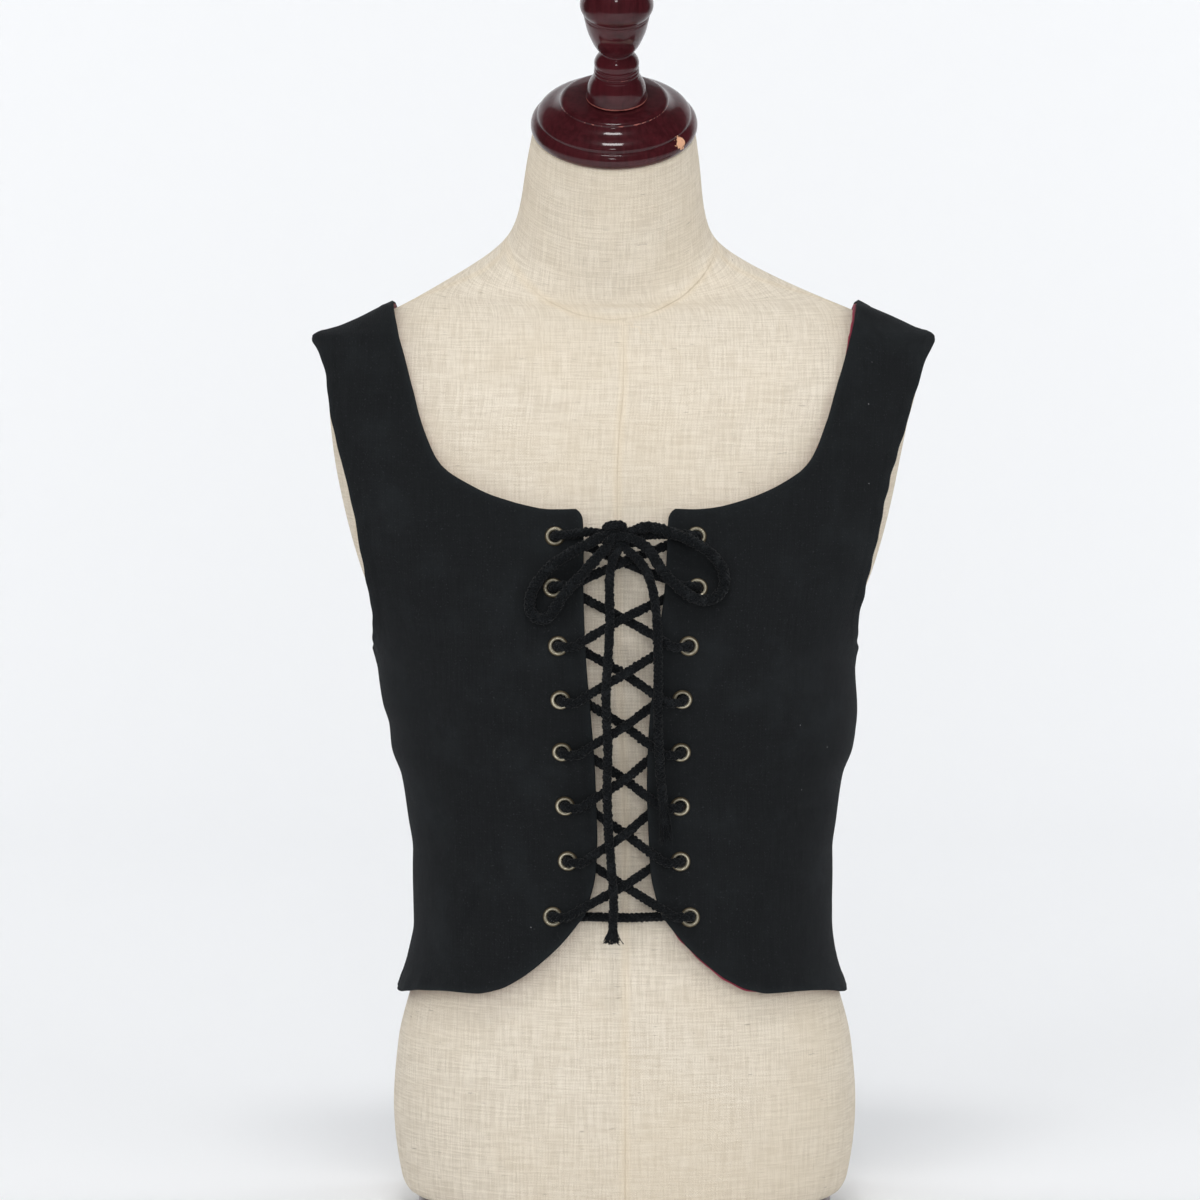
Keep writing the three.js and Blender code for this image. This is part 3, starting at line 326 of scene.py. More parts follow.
def make_object(name, points, faces, materials=(), face_materials=None, edges=()):
    """A smooth mesh object at the origin."""
    mesh = bpy.data.meshes.new(name)
    mesh.from_pydata([tuple(p) for p in points], edges, [tuple(int(v) for v in f) for f in faces])
    for material in materials:
        mesh.materials.append(material)
    if face_materials is not None:
        mesh.polygons.foreach_set("material_index", np.asarray(face_materials, np.int32))
    mesh.polygons.foreach_set("use_smooth", np.ones(len(mesh.polygons), bool))
    mesh.update()
    piece = bpy.data.objects.new(name, mesh)
    bpy.context.scene.collection.objects.link(piece)
    return piece


def give_map(piece, places):
    """Gives a piece a UV map in metres, from one place for each vertex."""
    layer = piece.data.uv_layers.new(name="cut")
    corners = np.zeros(len(piece.data.loops), np.int32)
    piece.data.loops.foreach_get("vertex_index", corners)
    layer.data.foreach_set("uv", np.asarray(places, np.float32)[corners].ravel())


def give_values(piece, name, values):
    """Gives a piece one number for each vertex, for its material to read."""
    layer = piece.data.attributes.new(name, "FLOAT", "POINT")
    layer.data.foreach_set("value", np.asarray(values, np.float32))


def open_edges(faces):
    """The open edges of a set of faces, as closed loops of vertices."""
    ways = {(int(a), int(b)) for face in faces for a, b in zip(face, np.roll(face, -1))}
    follow = {a: b for a, b in ways if (b, a) not in ways}
    loops = []
    while follow:
        start, end = follow.popitem()
        loop = [start]
        while end != start:
            loop.append(end)
            end = follow.pop(end)
        loops.append(np.array(loop))
    return loops


EDGE_TURNS = np.radians((64, 34, 0, -34, -64))


def cloth_wall(name, points, normals, faces, places, sewn, edge_gap):
    """A wall of cloth: the outer face, edges that are rounder where they are turned than where they are sewn,
    and the lining inside. Points that no face uses are left out."""
    used = np.unique(faces)
    renumber = np.zeros(len(points), int)
    renumber[used] = np.arange(len(used))
    roll = np.full(len(points), TURNED_EDGE)
    roll[sewn] = SEWN_EDGE
    points, normals, places, roll = (values[used] for values in (points, normals, places, roll))
    faces = renumber[faces]
    count, half = len(points), CLOTH_THICKNESS / 2
    all_points, all_places = [points, points - normals * CLOTH_THICKNESS], [places, places]
    all_faces = [faces, faces[:, ::-1] + count]
    inside = [np.zeros(len(faces)), np.ones(len(faces))]
    total = 2 * count
    for loop in open_edges(faces):
        out = normals[loop]
        away = np.cross(np.roll(points[loop], -1, 0) - np.roll(points[loop], 1, 0), out)
        away /= np.linalg.norm(away, axis=1, keepdims=True)
        rings = [loop]
        for turn in EDGE_TURNS:
            bulge = away * (roll[loop] * math.cos(turn))[:, None]
            all_points.append(points[loop] + out * (half * (math.sin(turn) - 1)) + bulge)
            all_places.append(places[loop])
            rings.append(np.arange(total, total + len(loop)))
            total += len(loop)
        rings.append(loop + count)
        for step, (near, far) in enumerate(zip(rings, rings[1:])):
            next_near, next_far = np.roll(near, -1), np.roll(far, -1)
            all_faces.append(np.stack([next_near, near, far, next_far], -1))
            inside.append(np.full(len(loop), step >= len(EDGE_TURNS)))
    piece = make_object(
        name, np.vstack(all_points), np.vstack(all_faces), (black_cloth, red_lining), np.concatenate(inside))
    give_map(piece, np.vstack(all_places))
    worn = np.exp(-(edge_gap[used] / WORN_REACH) ** 2)
    give_values(piece, "edge", np.concatenate([worn, worn, np.ones(total - 2 * count)]))
    return piece


def panel_lift(points, turned, sewn, waves, seed, longest):
    """How far a panel's cloth stands off its plain form, by its free edges, seams and slow waves. Also each
    point's distance to the free edges."""
    edge_gap = distance_to(points, points[turned])
    lift = ROLL_HEIGHT * (1 - np.clip((edge_gap - ROLL_WIDTH) / ROLL_FADE, 0, 1) ** 2)
    calm = np.clip(edge_gap / CALM_REACH, CALM_EDGE, 1)
    lift += waves * soft_unevenness(points, seed, longest, SHORTEST_WAVE) * calm
    lift -= SEAM_DIP * np.exp(-(distance_to(points, points[sewn]) / SEAM_REACH) ** 2)
    return lift, edge_gap


def cut_map(angle, z, hand, half):
    """The place of each grid point on the flat cloth: the way round from the middle, and the height."""
    turns = np.linspace(0, 1, 40)[:, None, None]
    sweep = angle + (math.pi / 2 - angle) * turns
    ring = cloth_point(sweep, np.broadcast_to(z, sweep.shape), 1.0, half)
    round_way = np.linalg.norm(np.diff(ring, axis=0), axis=-1).sum(0)
    return np.stack([round_way * hand, z], -1).reshape(-1, 2)


def grid_faces(number, flip):
    """Quads between the neighbours of a grid of vertex numbers, turned over if asked."""
    quads = np.stack([number[:-1, :-1], number[:-1, 1:], number[1:, 1:], number[1:, :-1]], -1).reshape(-1, 4)
    return quads[:, ::-1] if flip else quads


def reckoned(operation):
    """A way to reckon with a reading, by one Math node."""
    def method(self, *others):
        return read(self.tree, "ShaderNodeMath", dict(enumerate((self, *others))), operation=operation)
    return method


class Reading:
    """One output of a node, which can be reckoned with like a number."""

    __add__, __sub__, __mul__, __truediv__ = map(reckoned, ("ADD", "SUBTRACT", "MULTIPLY", "DIVIDE"))
    __lt__, __gt__, __abs__ = map(reckoned, ("LESS_THAN", "GREATER_THAN", "ABSOLUTE"))
    __mod__, power, or_more = map(reckoned, ("FLOORED_MODULO", "POWER", "MAXIMUM"))
    floor, sine, cosine, root = map(reckoned, ("FLOOR", "SINE", "COSINE", "SQRT"))

    def __init__(self, socket):
        self.socket, self.tree = socket, socket.id_data


def give(socket, value):
    """Connects an input to a reading, or sets a constant on it."""
    if isinstance(value, Reading):
        socket.id_data.links.new(value.socket, socket)
    else:
        socket.default_value = value


def put(tree, kind, inputs=None, **settings):
    """Adds a node with its settings and inputs."""
    made = tree.nodes.new(kind)
    for key, value in settings.items():
        setattr(made, key, value)
    for key, value in (inputs or {}).items():
        give(made.inputs[key], value)
    return made


def read(tree, kind, inputs=None, output=0, **settings):
    """Adds a node and reads one of its outputs."""
    return Reading(put(tree, kind, inputs, **settings).outputs[output])


def noise(place, scale, detail, **more):
    """A random pattern of light and dark."""
    inputs = {"Vector": place, "Scale": scale, "Detail": detail, **more}
    return read(place.tree, "ShaderNodeTexNoise", inputs, "Fac")


def drawn_out(place, *scale):
    """Places of which each direction is scaled by its own number."""
    return read(place.tree, "ShaderNodeMapping", {"Vector": place, "Scale": scale})


def blend(share, *colours):
    """A colour between two others, by a share."""
    first, second = ((*colour, 1) if isinstance(colour, tuple) else colour for colour in colours)
    return read(share.tree, "ShaderNodeMix", {0: share, 6: first, 7: second}, 2, data_type="RGBA")


def between(value, low, high, to_low=0.0, to_high=1.0):
    """A number that climbs smoothly from one level to another while the value goes from low to high."""
    spread = {"Value": value, "From Min": low, "From Max": high, "To Min": to_low, "To Max": to_high}
    return read(value.tree, "ShaderNodeMapRange", spread, interpolation_type="SMOOTHSTEP")


def bump(height, strength, distance, **under):
    """The way that a surface faces with a height pressed into it."""
    inputs = {"Height": height, "Strength": strength, "Distance": distance, **under}
    return read(height.tree, "ShaderNodeBump", inputs)


def new_group(name, kind, inputs, outputs):
    """A node group with named sockets, the readings of its inputs by name, and its output node."""
    group = bpy.data.node_groups.new(name, kind)
    for label, socket, *values in inputs:
        made = group.interface.new_socket(label, in_out="INPUT", socket_type="NodeSocket" + socket)
        for value in values:
            made.default_value = value
    for label, socket in outputs:
        group.interface.new_socket(label, in_out="OUTPUT", socket_type="NodeSocket" + socket)
    given = {socket.name: Reading(socket) for socket in group.nodes.new("NodeGroupInput").outputs}
    return group, given, group.nodes.new("NodeGroupOutput")


def make_weave_group():
    """Threads that pass over and under each other, with thick and thin places along each thread."""
    group, given, result = new_group(
        "thread_weave", "ShaderNodeTree",
        (("Place", "Vector"), ("Threads Per Metre", "Float", 1500), ("Shafts", "Float", 2),
         ("Slub Length", "Float", 20)),
        (("Height", "Float"), ("Shade", "Float")))
    place = put(group, "ShaderNodeSeparateXYZ", {0: given["Place"]}).outputs
    across, upward = (Reading(place[way]) * given["Threads Per Metre"] for way in "XY")
    over = (across.floor() + upward.floor()) % given["Shafts"] < given["Shafts"] - 1
    shades, crowns = [], []
    for own, other in ((across, upward), (upward, across)):
        apart = len(shades) * 7.3
        spot = read(group, "ShaderNodeCombineXYZ", {0: own, 1: other / given["Slub Length"], 2: apart})
        shades.append(noise(spot, 0.7, 2))
        crowns.append(abs((own * math.pi).sine()) * (shades[-1] + 0.5))
    for label, (warp, weft) in (("Height", crowns), ("Shade", shades)):
        give(result.inputs[label], over * (warp - weft) + weft)
    return group


def new_material(name, colour):
    """A material with its tree and its Principled shader, and the colour that it has in a plain view."""
    material = bpy.data.materials.new(name)
    material.use_nodes = True
    material.diffuse_color = (*colour, 1)
    return material, material.node_tree, material.node_tree.nodes["Principled BSDF"]


def set_up(shader, **values):
    """Sets or connects a shader's own sockets."""
    for name, value in values.items():
        give(shader.inputs[name.replace("_", " ")], value)


weave_group = make_weave_group()


def woven(tree, threads, shafts, slub):
    """The weave's height and shade in a material, laid out on the piece's own cut."""
    cut = read(tree, "ShaderNodeUVMap", uv_map="cut")
    given = {"Place": cut, "Threads Per Metre": threads, "Shafts": shafts, "Slub Length": slub}
    made = put(tree, "ShaderNodeGroup", given, node_tree=weave_group).outputs
    return Reading(made["Height"]), Reading(made["Shade"])


def own_place(tree):
    """Where each point lies on the object, in metres."""
    return read(tree, "ShaderNodeTexCoord", output="Object")


def own_value(tree, name):
    """What the piece's mesh says at each point under that name."""
    return read(tree, "ShaderNodeAttribute", output="Fac", attribute_name=name)


def make_black_cloth():
    """Black cotton twill: matt, a little greyer where it is rubbed, with a few specks of lint."""
    material, tree, shader = new_material("black_cloth", (0.014, 0.015, 0.0168))
    spot = own_place(tree)
    height, shade = woven(tree, 1500, 3, 30)
    rubbed = between(noise(spot, 24, 5, Roughness=0.6), 0.45, 0.72) * 0.45
    fuzz = between(noise(spot, 900, 3), 0.6, 0.8)
    base = blend(shade, (0.0066, 0.0074, 0.0080), (0.0146, 0.0160, 0.0172))
    base = blend(rubbed.or_more(own_value(tree, "edge") * 0.5), base, (0.0180, 0.0210, 0.0228))
    base = blend(fuzz, base, (0.031, 0.033, 0.035))
    lint = put(tree, "ShaderNodeTexVoronoi", {"Vector": spot, "Scale": 70.0}).outputs
    chosen = read(tree, "ShaderNodeSeparateColor", {0: Reading(lint["Color"])})
    base = blend((Reading(lint["Distance"]) < 0.028) * (chosen > 0.72), base, (0.16, 0.16, 0.165))
    crumple = bump(noise(spot, 90, 5, Roughness=0.55), 0.45, 0.0014, Normal=bump(height, 0.5, 0.00025))
    set_up(shader, Base_Color=base, Roughness=0.95, Specular_IOR_Level=0.10, Sheen_Weight=0.035,
           Sheen_Roughness=0.45, Sheen_Tint=(0.66, 0.70, 0.78, 1), Normal=crumple)
    return material


def make_red_lining():
    """Dark red plain-woven lining with a slight shine."""
    material, tree, shader = new_material("red_lining", (0.195, 0.008, 0.03))
    height, shade = woven(tree, 2600, 2, 20)
    base = blend(shade, (0.15, 0.005, 0.02), (0.30, 0.014, 0.045))
    set_up(shader, Base_Color=base, Roughness=0.6, Sheen_Weight=0.2, Normal=bump(height, 0.4, 0.00015))
    return material


black_cloth = make_black_cloth()
red_lining = make_red_lining()
front_angle, front_height, front_on_side = panel_grid(
    FRONT_EDGE, NECKLINE, NECKLINE_BEND, FRONT_HEM, FRONT_ARMHOLE, -1, FRONT_ROWS)


def make_front(name, hand, spots):
    """One front: its grid, the eyelets' holes, the rolled edges and the pull of the lace. Also the middle and
    the direction of each hole."""
    rows, columns = front_angle.shape
    angle, z = front_angle.ravel(), front_height.ravel()
    points, normals = cloth_point(angle, z, hand, -1), cloth_normal(angle, z, hand, -1)
    number = np.arange(rows * columns).reshape(rows, columns)
    sewn = np.concatenate([number[front_on_side, -1], number[-1]])
    turned = np.concatenate([number[:, 0], number[0], number[~front_on_side, -1]])
    lift, edge_gap = panel_lift(points, turned, sewn, FRONT_WAVES, 11 + hand, FRONT_WAVE_LENGTH)
    hole_gap = distance_to(points, spots)
    puckers = soft_unevenness(points, 31 + hand, *PUCKER_LENGTHS) * np.exp(-(edge_gap / PUCKER_REACH) ** 2)
    pull = np.cos((points[:, 2] - EYELETS[-1][0]) * (2 * math.pi / PULL_SPACING))
    lift += PUCKERS * puckers + LACE_PULL * pull * np.exp(-((hole_gap - PULL_FROM) / PULL_REACH) ** 2)
    lift -= EYELET_DIP * np.exp(-(hole_gap / EYELET_REACH) ** 2)
    points = points + normals * lift[:, None]
    points[sewn, 1] -= SEWN_EDGE
    faces = grid_faces(number, hand < 0)
    faces = faces[distance_to(points[faces].mean(1), spots) > EYELET_HOLE]
    seats = []
    holes = (loop for loop in open_edges(faces) if len(loop) < LONGEST_HOLE_RIM)
    for rim in sorted(holes, key=lambda rim: points[rim, 2].mean()):
        spot = spots[np.argmin(np.linalg.norm(spots - points[rim].mean(0), axis=1))]
        spoke = points[rim] - spot
        spoke -= normals[rim] * (spoke * normals[rim]).sum(1)[:, None]
        points[rim] += spoke * (EYELET_HOLE / np.linalg.norm(spoke, axis=1) - 1)[:, None]
        seats.append((points[rim].mean(0), normals[rim].mean(0)))
    places = cut_map(front_angle, front_height, hand, -1)
    return cloth_wall(name, points, normals, faces, places, sewn, edge_gap), seats


left_spots = np.array([on_front(left, z)[0] for z, left, right in EYELETS])
right_spots = np.array([on_front(right, z)[0] for z, left, right in EYELETS])
front_left, left_seats = make_front("cloth_front_left", -1, left_spots)
front_right, right_seats = make_front("cloth_front_right", 1, right_spots)
for front, node in ((front_left, "waistcoat_front_left"), (front_right, "waistcoat_front_right")):
    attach(front, "root")
    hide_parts(node)

# The back
# One plain piece without a seam down its middle, cut straight across between the shoulder blades. It is
# sewn to the fronts at the sides and shoulders, and lined and turned like them.
BACK_NECKLINE = (
    (0, 0.487), (0.04, 0.488), (0.076, 0.492), (0.104, 0.502), (0.122, 0.519), (0.134, 0.543), (0.144, 0.57),
    (0.1495, SHOULDER_NECK_HEIGHT),
)
BACK_NECKLINE_BEND = 3
BACK_ARMHOLE = (
    (0, UNDERARM_HEIGHT), (0.015, 0.367), (0.034, 0.378), (0.048, 0.396), (0.057, 0.42), (0.06, 0.45),
    (0.058, 0.48), (0.052, 0.51), (0.04, 0.54), (0.022, 0.559), (0, SHOULDER_TIP_HEIGHT),
)
BACK_MIDDLE = ((0, 0.144), (0, 0.487))
BACK_HEM = ((0, 0.144), (0.08, 0.144), (0.1445, HEM_HEIGHT))
BACK_ROWS = (100, 30, 44)
BACK_WAVES, BACK_WAVE_LENGTH = 0.0007, 0.12


def make_back(name):
    """The back: two mirrored grids that share the column down the middle."""
    angle, z, on_side = panel_grid(
        BACK_MIDDLE, BACK_NECKLINE, BACK_NECKLINE_BEND, BACK_HEM, BACK_ARMHOLE, 1, BACK_ROWS)
    rows, columns = angle.shape
    joined = BACK_ROWS[0] + 1
    right = np.arange(rows * columns).reshape(rows, columns)
    left = right + right.size
    left[:joined, 0] = right[:joined, 0]
    hand = np.repeat((1.0, -1.0), right.size)
    angles, heights = np.tile(angle.ravel(), 2), np.tile(z.ravel(), 2)
    points, normals = cloth_point(angles, heights, hand, 1), cloth_normal(angles, heights, hand, 1)
    places = np.vstack([cut_map(angle, z, way, 1) for way in (1, -1)])
    sewn = np.concatenate([np.concatenate([half[on_side, -1], half[-1]]) for half in (right, left)])
    turned = np.concatenate([
        np.concatenate([half[joined - 1:, 0], half[0], half[~on_side, -1]]) for half in (right, left)])
    lift, edge_gap = panel_lift(points, turned, sewn, BACK_WAVES, 23, BACK_WAVE_LENGTH)
    points = points + normals * lift[:, None]
    points[sewn, 1] += SEWN_EDGE
    faces = np.vstack([grid_faces(right, True), grid_faces(left, False)])
    return cloth_wall(name, points, normals, faces, places, sewn, edge_gap)


back = make_back("cloth_back")
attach(back, "root")
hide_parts("waistcoat_back")

# The lining's rolled edges
# At the lower curve of the front on the viewer's right, and at the inner top corner of its shoulder, the red
# lining has crept out and shows as a thin rolled line beyond the black.
STRIP_DEPTH = 0.0045
STRIP_TOP, STRIP_THICKNESS = -0.00212, 0.0004
STRIP_BEND, STRIP_BEAD = 0.001, 0.0002
BEAD_OUT, BEAD_DROP, BEAD_RADIUS = 0.0022, -0.0015, 0.0008
BEAD_SLIDE, BEAD_SINK, BEAD_THINNING = 0.0031, 0.0014, 0.4
STRIP_THREADS_APART = 0.0006
HEM_STRIP_COLUMNS = round(PANEL_COLUMNS * 4 / 11)
SHOULDER_STRIP_ROWS = round(FRONT_ROWS[2] * 3 / 7)
STRIP_STEPS = 160
STRIP_FADE_IN, STRIP_FADE_OUT = 0.12, 0.25
STRIP_UNEVEN, STRIP_WAVE_LENGTHS = 0.14, (0.02, 0.008)


def ring_faces(number):
    """Quads between closed rings of vertex numbers."""
    return [tuple(face) for face in grid_faces(np.column_stack([number, number[:, 0]]), False)]


def make_strip(name, edge, inside, seed):
    """A strip of lining that follows an edge of the right front. edge and inside hold angles and heights."""
    edge, inside = evenly(edge, STRIP_STEPS), evenly(inside, STRIP_STEPS)
    at = cloth_point(edge[:, 0], edge[:, 1], 1, -1)
    out = cloth_normal(edge[:, 0], edge[:, 1], 1, -1)
    away = at - cloth_point(inside[:, 0], inside[:, 1], 1, -1)
    away -= out * (away * out).sum(1)[:, None]
    away /= np.linalg.norm(away, axis=1, keepdims=True)
    share = np.linspace(0, 1, STRIP_STEPS + 1)
    fade = np.clip(np.minimum(share / STRIP_FADE_IN, (1 - share) / STRIP_FADE_OUT), 0, 1)
    uneven = 1 - STRIP_UNEVEN + STRIP_UNEVEN * soft_unevenness(at, seed, *STRIP_WAVE_LENGTHS)
    show = fade * fade * (3 - 2 * fade) * uneven
    level, hidden = np.ones(len(show)), 1 - show
    across = [-STRIP_DEPTH * level, -STRIP_BEND * level, STRIP_BEAD - hidden * BEAD_SLIDE]
    upward = [STRIP_TOP * level, STRIP_TOP * level, STRIP_TOP - hidden * STRIP_BEAD]
    for turn in np.radians((160, 120, 80, 40, 0, -40, -80, -120)):
        radius = BEAD_RADIUS * (1 - BEAD_THINNING * hidden)
        across.append(BEAD_OUT - hidden * BEAD_SLIDE + radius * math.cos(turn))
        upward.append(BEAD_DROP - hidden * BEAD_SINK + radius * math.sin(turn))
    across += [across[2], across[1], across[0]]
    upward += [upward[2] - STRIP_THICKNESS, upward[1] - STRIP_THICKNESS, upward[0] - STRIP_THICKNESS]
    sides = len(across)
    rings = np.stack([
        at + away * across[k][:, None] + out * upward[k][:, None] for k in range(sides)], 1)
    number = np.arange(rings.shape[0] * sides).reshape(-1, sides)
    faces = ring_faces(number) + [tuple(number[0]), tuple(number[-1][::-1])]
    piece = make_object(name, rings.reshape(-1, 3), faces, (red_lining,))
    run = np.repeat(share * length_of(at), sides)
    give_map(piece, np.stack([run, np.tile(np.arange(sides) * STRIP_THREADS_APART, len(at))], -1))
    return piece


front_grid = np.stack([front_angle, front_height], -1)
at_hem, at_shoulder = front_grid[:, :HEM_STRIP_COLUMNS], front_grid[-SHOULDER_STRIP_ROWS:]
strips = (
    make_strip("lining_strip_hem", at_hem[0], at_hem[3], 5),
    make_strip("lining_strip_shoulder", at_shoulder[:, 0], at_shoulder[:, 3], 6),
)
for strip, node in zip(strips, ("lining_hem_right", "lining_shoulder_right")):
    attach(strip, "root")
    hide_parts(node)

# The eyelets
# Each is a pressed brass ring: a rounded flange on the face, a barrel through the cloth and a washer rolled
# over inside. The brass is dull and brown in the recess, and the crown is painted pale gold, partly as rubbed
# brass and partly as a painted highlight.
EYELET_FACE = CLOTH_THICKNESS / 2 + 0.0001
EYELET_PROFILE = (
    (0.0035, -0.0016), (0.0039, -0.0019), (0.0052, -0.0019), (0.0056, -0.0016), (0.0055, -0.0012),
    (0.0041, -0.0011), (0.0040, 0.0009), (0.0060, 0.0009), (0.0063, 0.0012), (0.00635, 0.0016),
    (0.00615, 0.0021), (0.0057, 0.00248), (0.0051, 0.0026), (0.0045, 0.0024), (0.0040, 0.0019),
    (0.00368, 0.0012), (0.0035, 0.0004), (0.00348, -0.0008),
)
EYELET_SIDES = 44
EYELET_CROWN, EYELET_CROWN_WIDTH, CROWN_FROM = 0.0046, 0.0006, 0.0012


def turned(name, profile, sides):
    """A ring or a solid turned about +Z, from a closed list of radii and heights, as a mesh object."""
    around = np.linspace(0, 2 * math.pi, sides, endpoint=False)
    points, rings = [], []
    for radius, height in profile:
        if radius == 0:
            rings.append(np.full(sides, len(points)))
            points.append((0.0, 0.0, height))
        else:
            rings.append(np.arange(len(points), len(points) + sides))
            points += [(radius * math.cos(a), radius * math.sin(a), height) for a in around]
    faces = []
    for low, high in zip(rings, rings[1:] + rings[:1]):
        for i in range(sides):
            j = (i + 1) % sides
            corners = list(dict.fromkeys((low[i], low[j], high[j], high[i])))
            if len(corners) > 2:
                faces.append(corners)
    return make_object(name, points, faces)


def make_aged_brass():
    """Brass with a brown tarnish, and a crown painted pale gold as rubbed brass and as a painted highlight."""
    material, tree, shader = new_material("aged_brass", (0.27, 0.19, 0.077))
    patches = noise(own_place(tree), 420, 4)
    # The crown's pale gold is partly rubbed brass and partly a painted highlight.
    crown_rub_and_highlight = own_value(tree, "crown") * between(patches, 0.25, 0.6, 0.55, 1)
    base = blend(crown_rub_and_highlight, (0.10, 0.076, 0.042), (0.97, 0.89, 0.68))
    set_up(shader, Base_Color=base, Roughness=between(crown_rub_and_highlight, 0, 1, 0.5, 0.22), Metallic=0.65,
           Normal=bump(patches, 0.12, 0.0003))
    return material


def finish(geometry, given, result):
    """Ends a geometry tree: its instances made real, and its finish set."""
    real = read(geometry.tree, "GeometryNodeRealizeInstances", {0: geometry})
    inputs = {"Geometry": real, "Material": given["Finish"]}
    give(result.inputs["Geometry"], read(geometry.tree, "GeometryNodeSetMaterial", inputs))


def make_setting_tree():
    """Places one shape at every point, with its axis along the point's own direction."""
    tree, given, result = new_group(
        "set_on_points", "GeometryNodeTree",
        (("Points", "Geometry"), ("Shape", "Object"), ("Finish", "Material")), (("Geometry", "Geometry"),))
    way = read(tree, "GeometryNodeInputNamedAttribute", {"Name": "way"}, data_type="FLOAT_VECTOR")
    turn = read(tree, "FunctionNodeAlignRotationToVector", {"Vector": way}, axis="Z")
    shape = read(tree, "GeometryNodeObjectInfo", {"Object": given["Shape"]}, "Geometry")
    inputs = {"Points": given["Points"], "Instance": shape, "Rotation": turn}
    finish(read(tree, "GeometryNodeInstanceOnPoints", inputs), given, result)
    return tree


def grow(base, tree, **values):
    """Runs a tree on a base object with named inputs, and turns the result into a plain mesh."""
    modifier = base.modifiers.new("grow", "NODES")
    modifier.node_group = tree
    sockets = {item.name.replace(" ", "_"): item.identifier for item in tree.interface.items_tree
               if item.item_type == "SOCKET" and item.in_out == "INPUT"}
    for key, value in values.items():
        modifier[sockets[key]] = value
    base.update_tag()
    ready = base.evaluated_get(bpy.context.evaluated_depsgraph_get())
    mesh = bpy.data.meshes.new_from_object(ready)
    base.modifiers.remove(modifier)
    base.data = mesh
    mesh.polygons.foreach_set("use_smooth", np.ones(len(mesh.polygons), bool))
    return base


aged_brass = make_aged_brass()
setting_tree = make_setting_tree()
ring = turned("eyelet_shape", EYELET_PROFILE, EYELET_SIDES)
ring_spots = np.array([v.co for v in ring.data.vertices])
# The crown: the band of the flange that is painted pale gold, as rubbed brass and as a painted highlight.
from_crown = (np.hypot(ring_spots[:, 0], ring_spots[:, 1]) - EYELET_CROWN) / EYELET_CROWN_WIDTH
give_values(ring, "crown", np.exp(-from_crown ** 2) * (ring_spots[:, 2] > CROWN_FROM))
eyelets = {}
for side, seats in (("left", left_seats), ("right", right_seats)):
    ways = np.array([way / np.linalg.norm(way) for at, way in seats])
    spots = np.array([at for at, way in seats]) - ways * EYELET_FACE
    base = make_object("eyelets_" + side, spots, [])
    base.data.attributes.new("way", "FLOAT_VECTOR", "POINT").data.foreach_set("vector", ways.ravel())
    eyelets[side] = grow(base, setting_tree, Shape=ring, Finish=aged_brass)
    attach(eyelets[side], "root")
    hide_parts(*(f"eyelet_{side}_{i + 1}" for i in range(len(EYELETS))))
bpy.data.objects.remove(ring)

# The lace
# One soft braided cotton cord, threaded from the bottom pair of eyelets up, over the edges and under the
# cloth by turns, and tied at the top in a bow. Eight strands plait round a core, and the cut ends have come
# undone.
STRANDS, STRAND_RADIUS = 8, 0.00108
PLAIT_RADIUS, PLAIT_WAVE = 0.0017, 0.00048
PLAIT_PITCH, PLAIT_STEP = 0.0125, 0.0005
HAIRS_PER_SQUARE_METRE, HAIR_LENGTH, HAIR_RADIUS, HAIR_TILT = 240000, 0.0013, 0.00007, 1.2
UNDER, UNDER_EDGE, OVER_EDGE, OVER_FLANGE, CROSSING = -0.0064, -0.0052, 0.0035, 0.0052, 0.0029
EYELET_CLEARANCE, EDGE_DROP = 0.0095, 0.005
KNOT = {"x": -0.0032, "z": 0.4472, "lift": 0.0095, "wide": 0.011, "high": 0.0085, "clear": 0.001}
KNOT_LACING_LIFT = 0.0052


def knot_port(turn, lift, inwards=0.0):
    """Where a cord leaves the knot, by its direction in degrees, or a place further in."""
    c, s = heading(turn)
    clear = KNOT["clear"] - inwards
    return (KNOT["x"] + c * (KNOT["wide"] + clear), KNOT["z"] + s * (KNOT["high"] + clear), lift)


def through_eyelet(x, z, hand):
    """The half turn through an eyelet, from over its flange to under the cloth."""
    gap = -hand
    return [
        (x + gap * EYELET_CLEARANCE, z, OVER_FLANGE), (x + gap * 0.0048, z, OVER_FLANGE - 0.0001),
        (x + gap * 0.0009, z, 0.0034), (x - gap * 0.0004, z, -0.0006), (x + gap * 0.0009, z, -0.0048),
        (x + gap * 0.005, z, UNDER), (x + gap * EYELET_CLEARANCE, z, UNDER),
    ]


front_edge_at = steady_curve([z for x, z in FRONT_EDGE], [x for x, z in FRONT_EDGE])


def diagonal(row, next_row, hand):
    """The stretch from under the cloth at one eyelet to over the cloth at the next one on the other side."""
    start_x = row[1 if hand < 0 else 2] - hand * EYELET_CLEARANCE
    end_x = next_row[2 if hand < 0 else 1] + hand * EYELET_CLEARANCE
    edge_from = hand * front_edge_at(row[0] - EDGE_DROP) - cloth["lean"](row[0])
    edge_to = -hand * front_edge_at(next_row[0] + EDGE_DROP) - cloth["lean"](next_row[0])
    slope = (next_row[0] - row[0]) / (end_x - start_x)
    height = {x: row[0] + (x - start_x) * slope for x in (edge_from, 0.0, edge_to)}
    return [
        (edge_from, height[edge_from], UNDER_EDGE), (0.0, height[0.0], hand * CROSSING),
        (edge_to, height[edge_to], OVER_EDGE),
    ]


def zigzag(hand):
    """One half of the lacing, from a top eyelet down to the bottom one."""
    places = []
    for i, row in enumerate(EYELETS):
        places += through_eyelet(row[1 if hand < 0 else 2], row[0], hand)
        if i + 1 < len(EYELETS):
            places += diagonal(row, EYELETS[i + 1], hand)
            hand = -hand
    return places


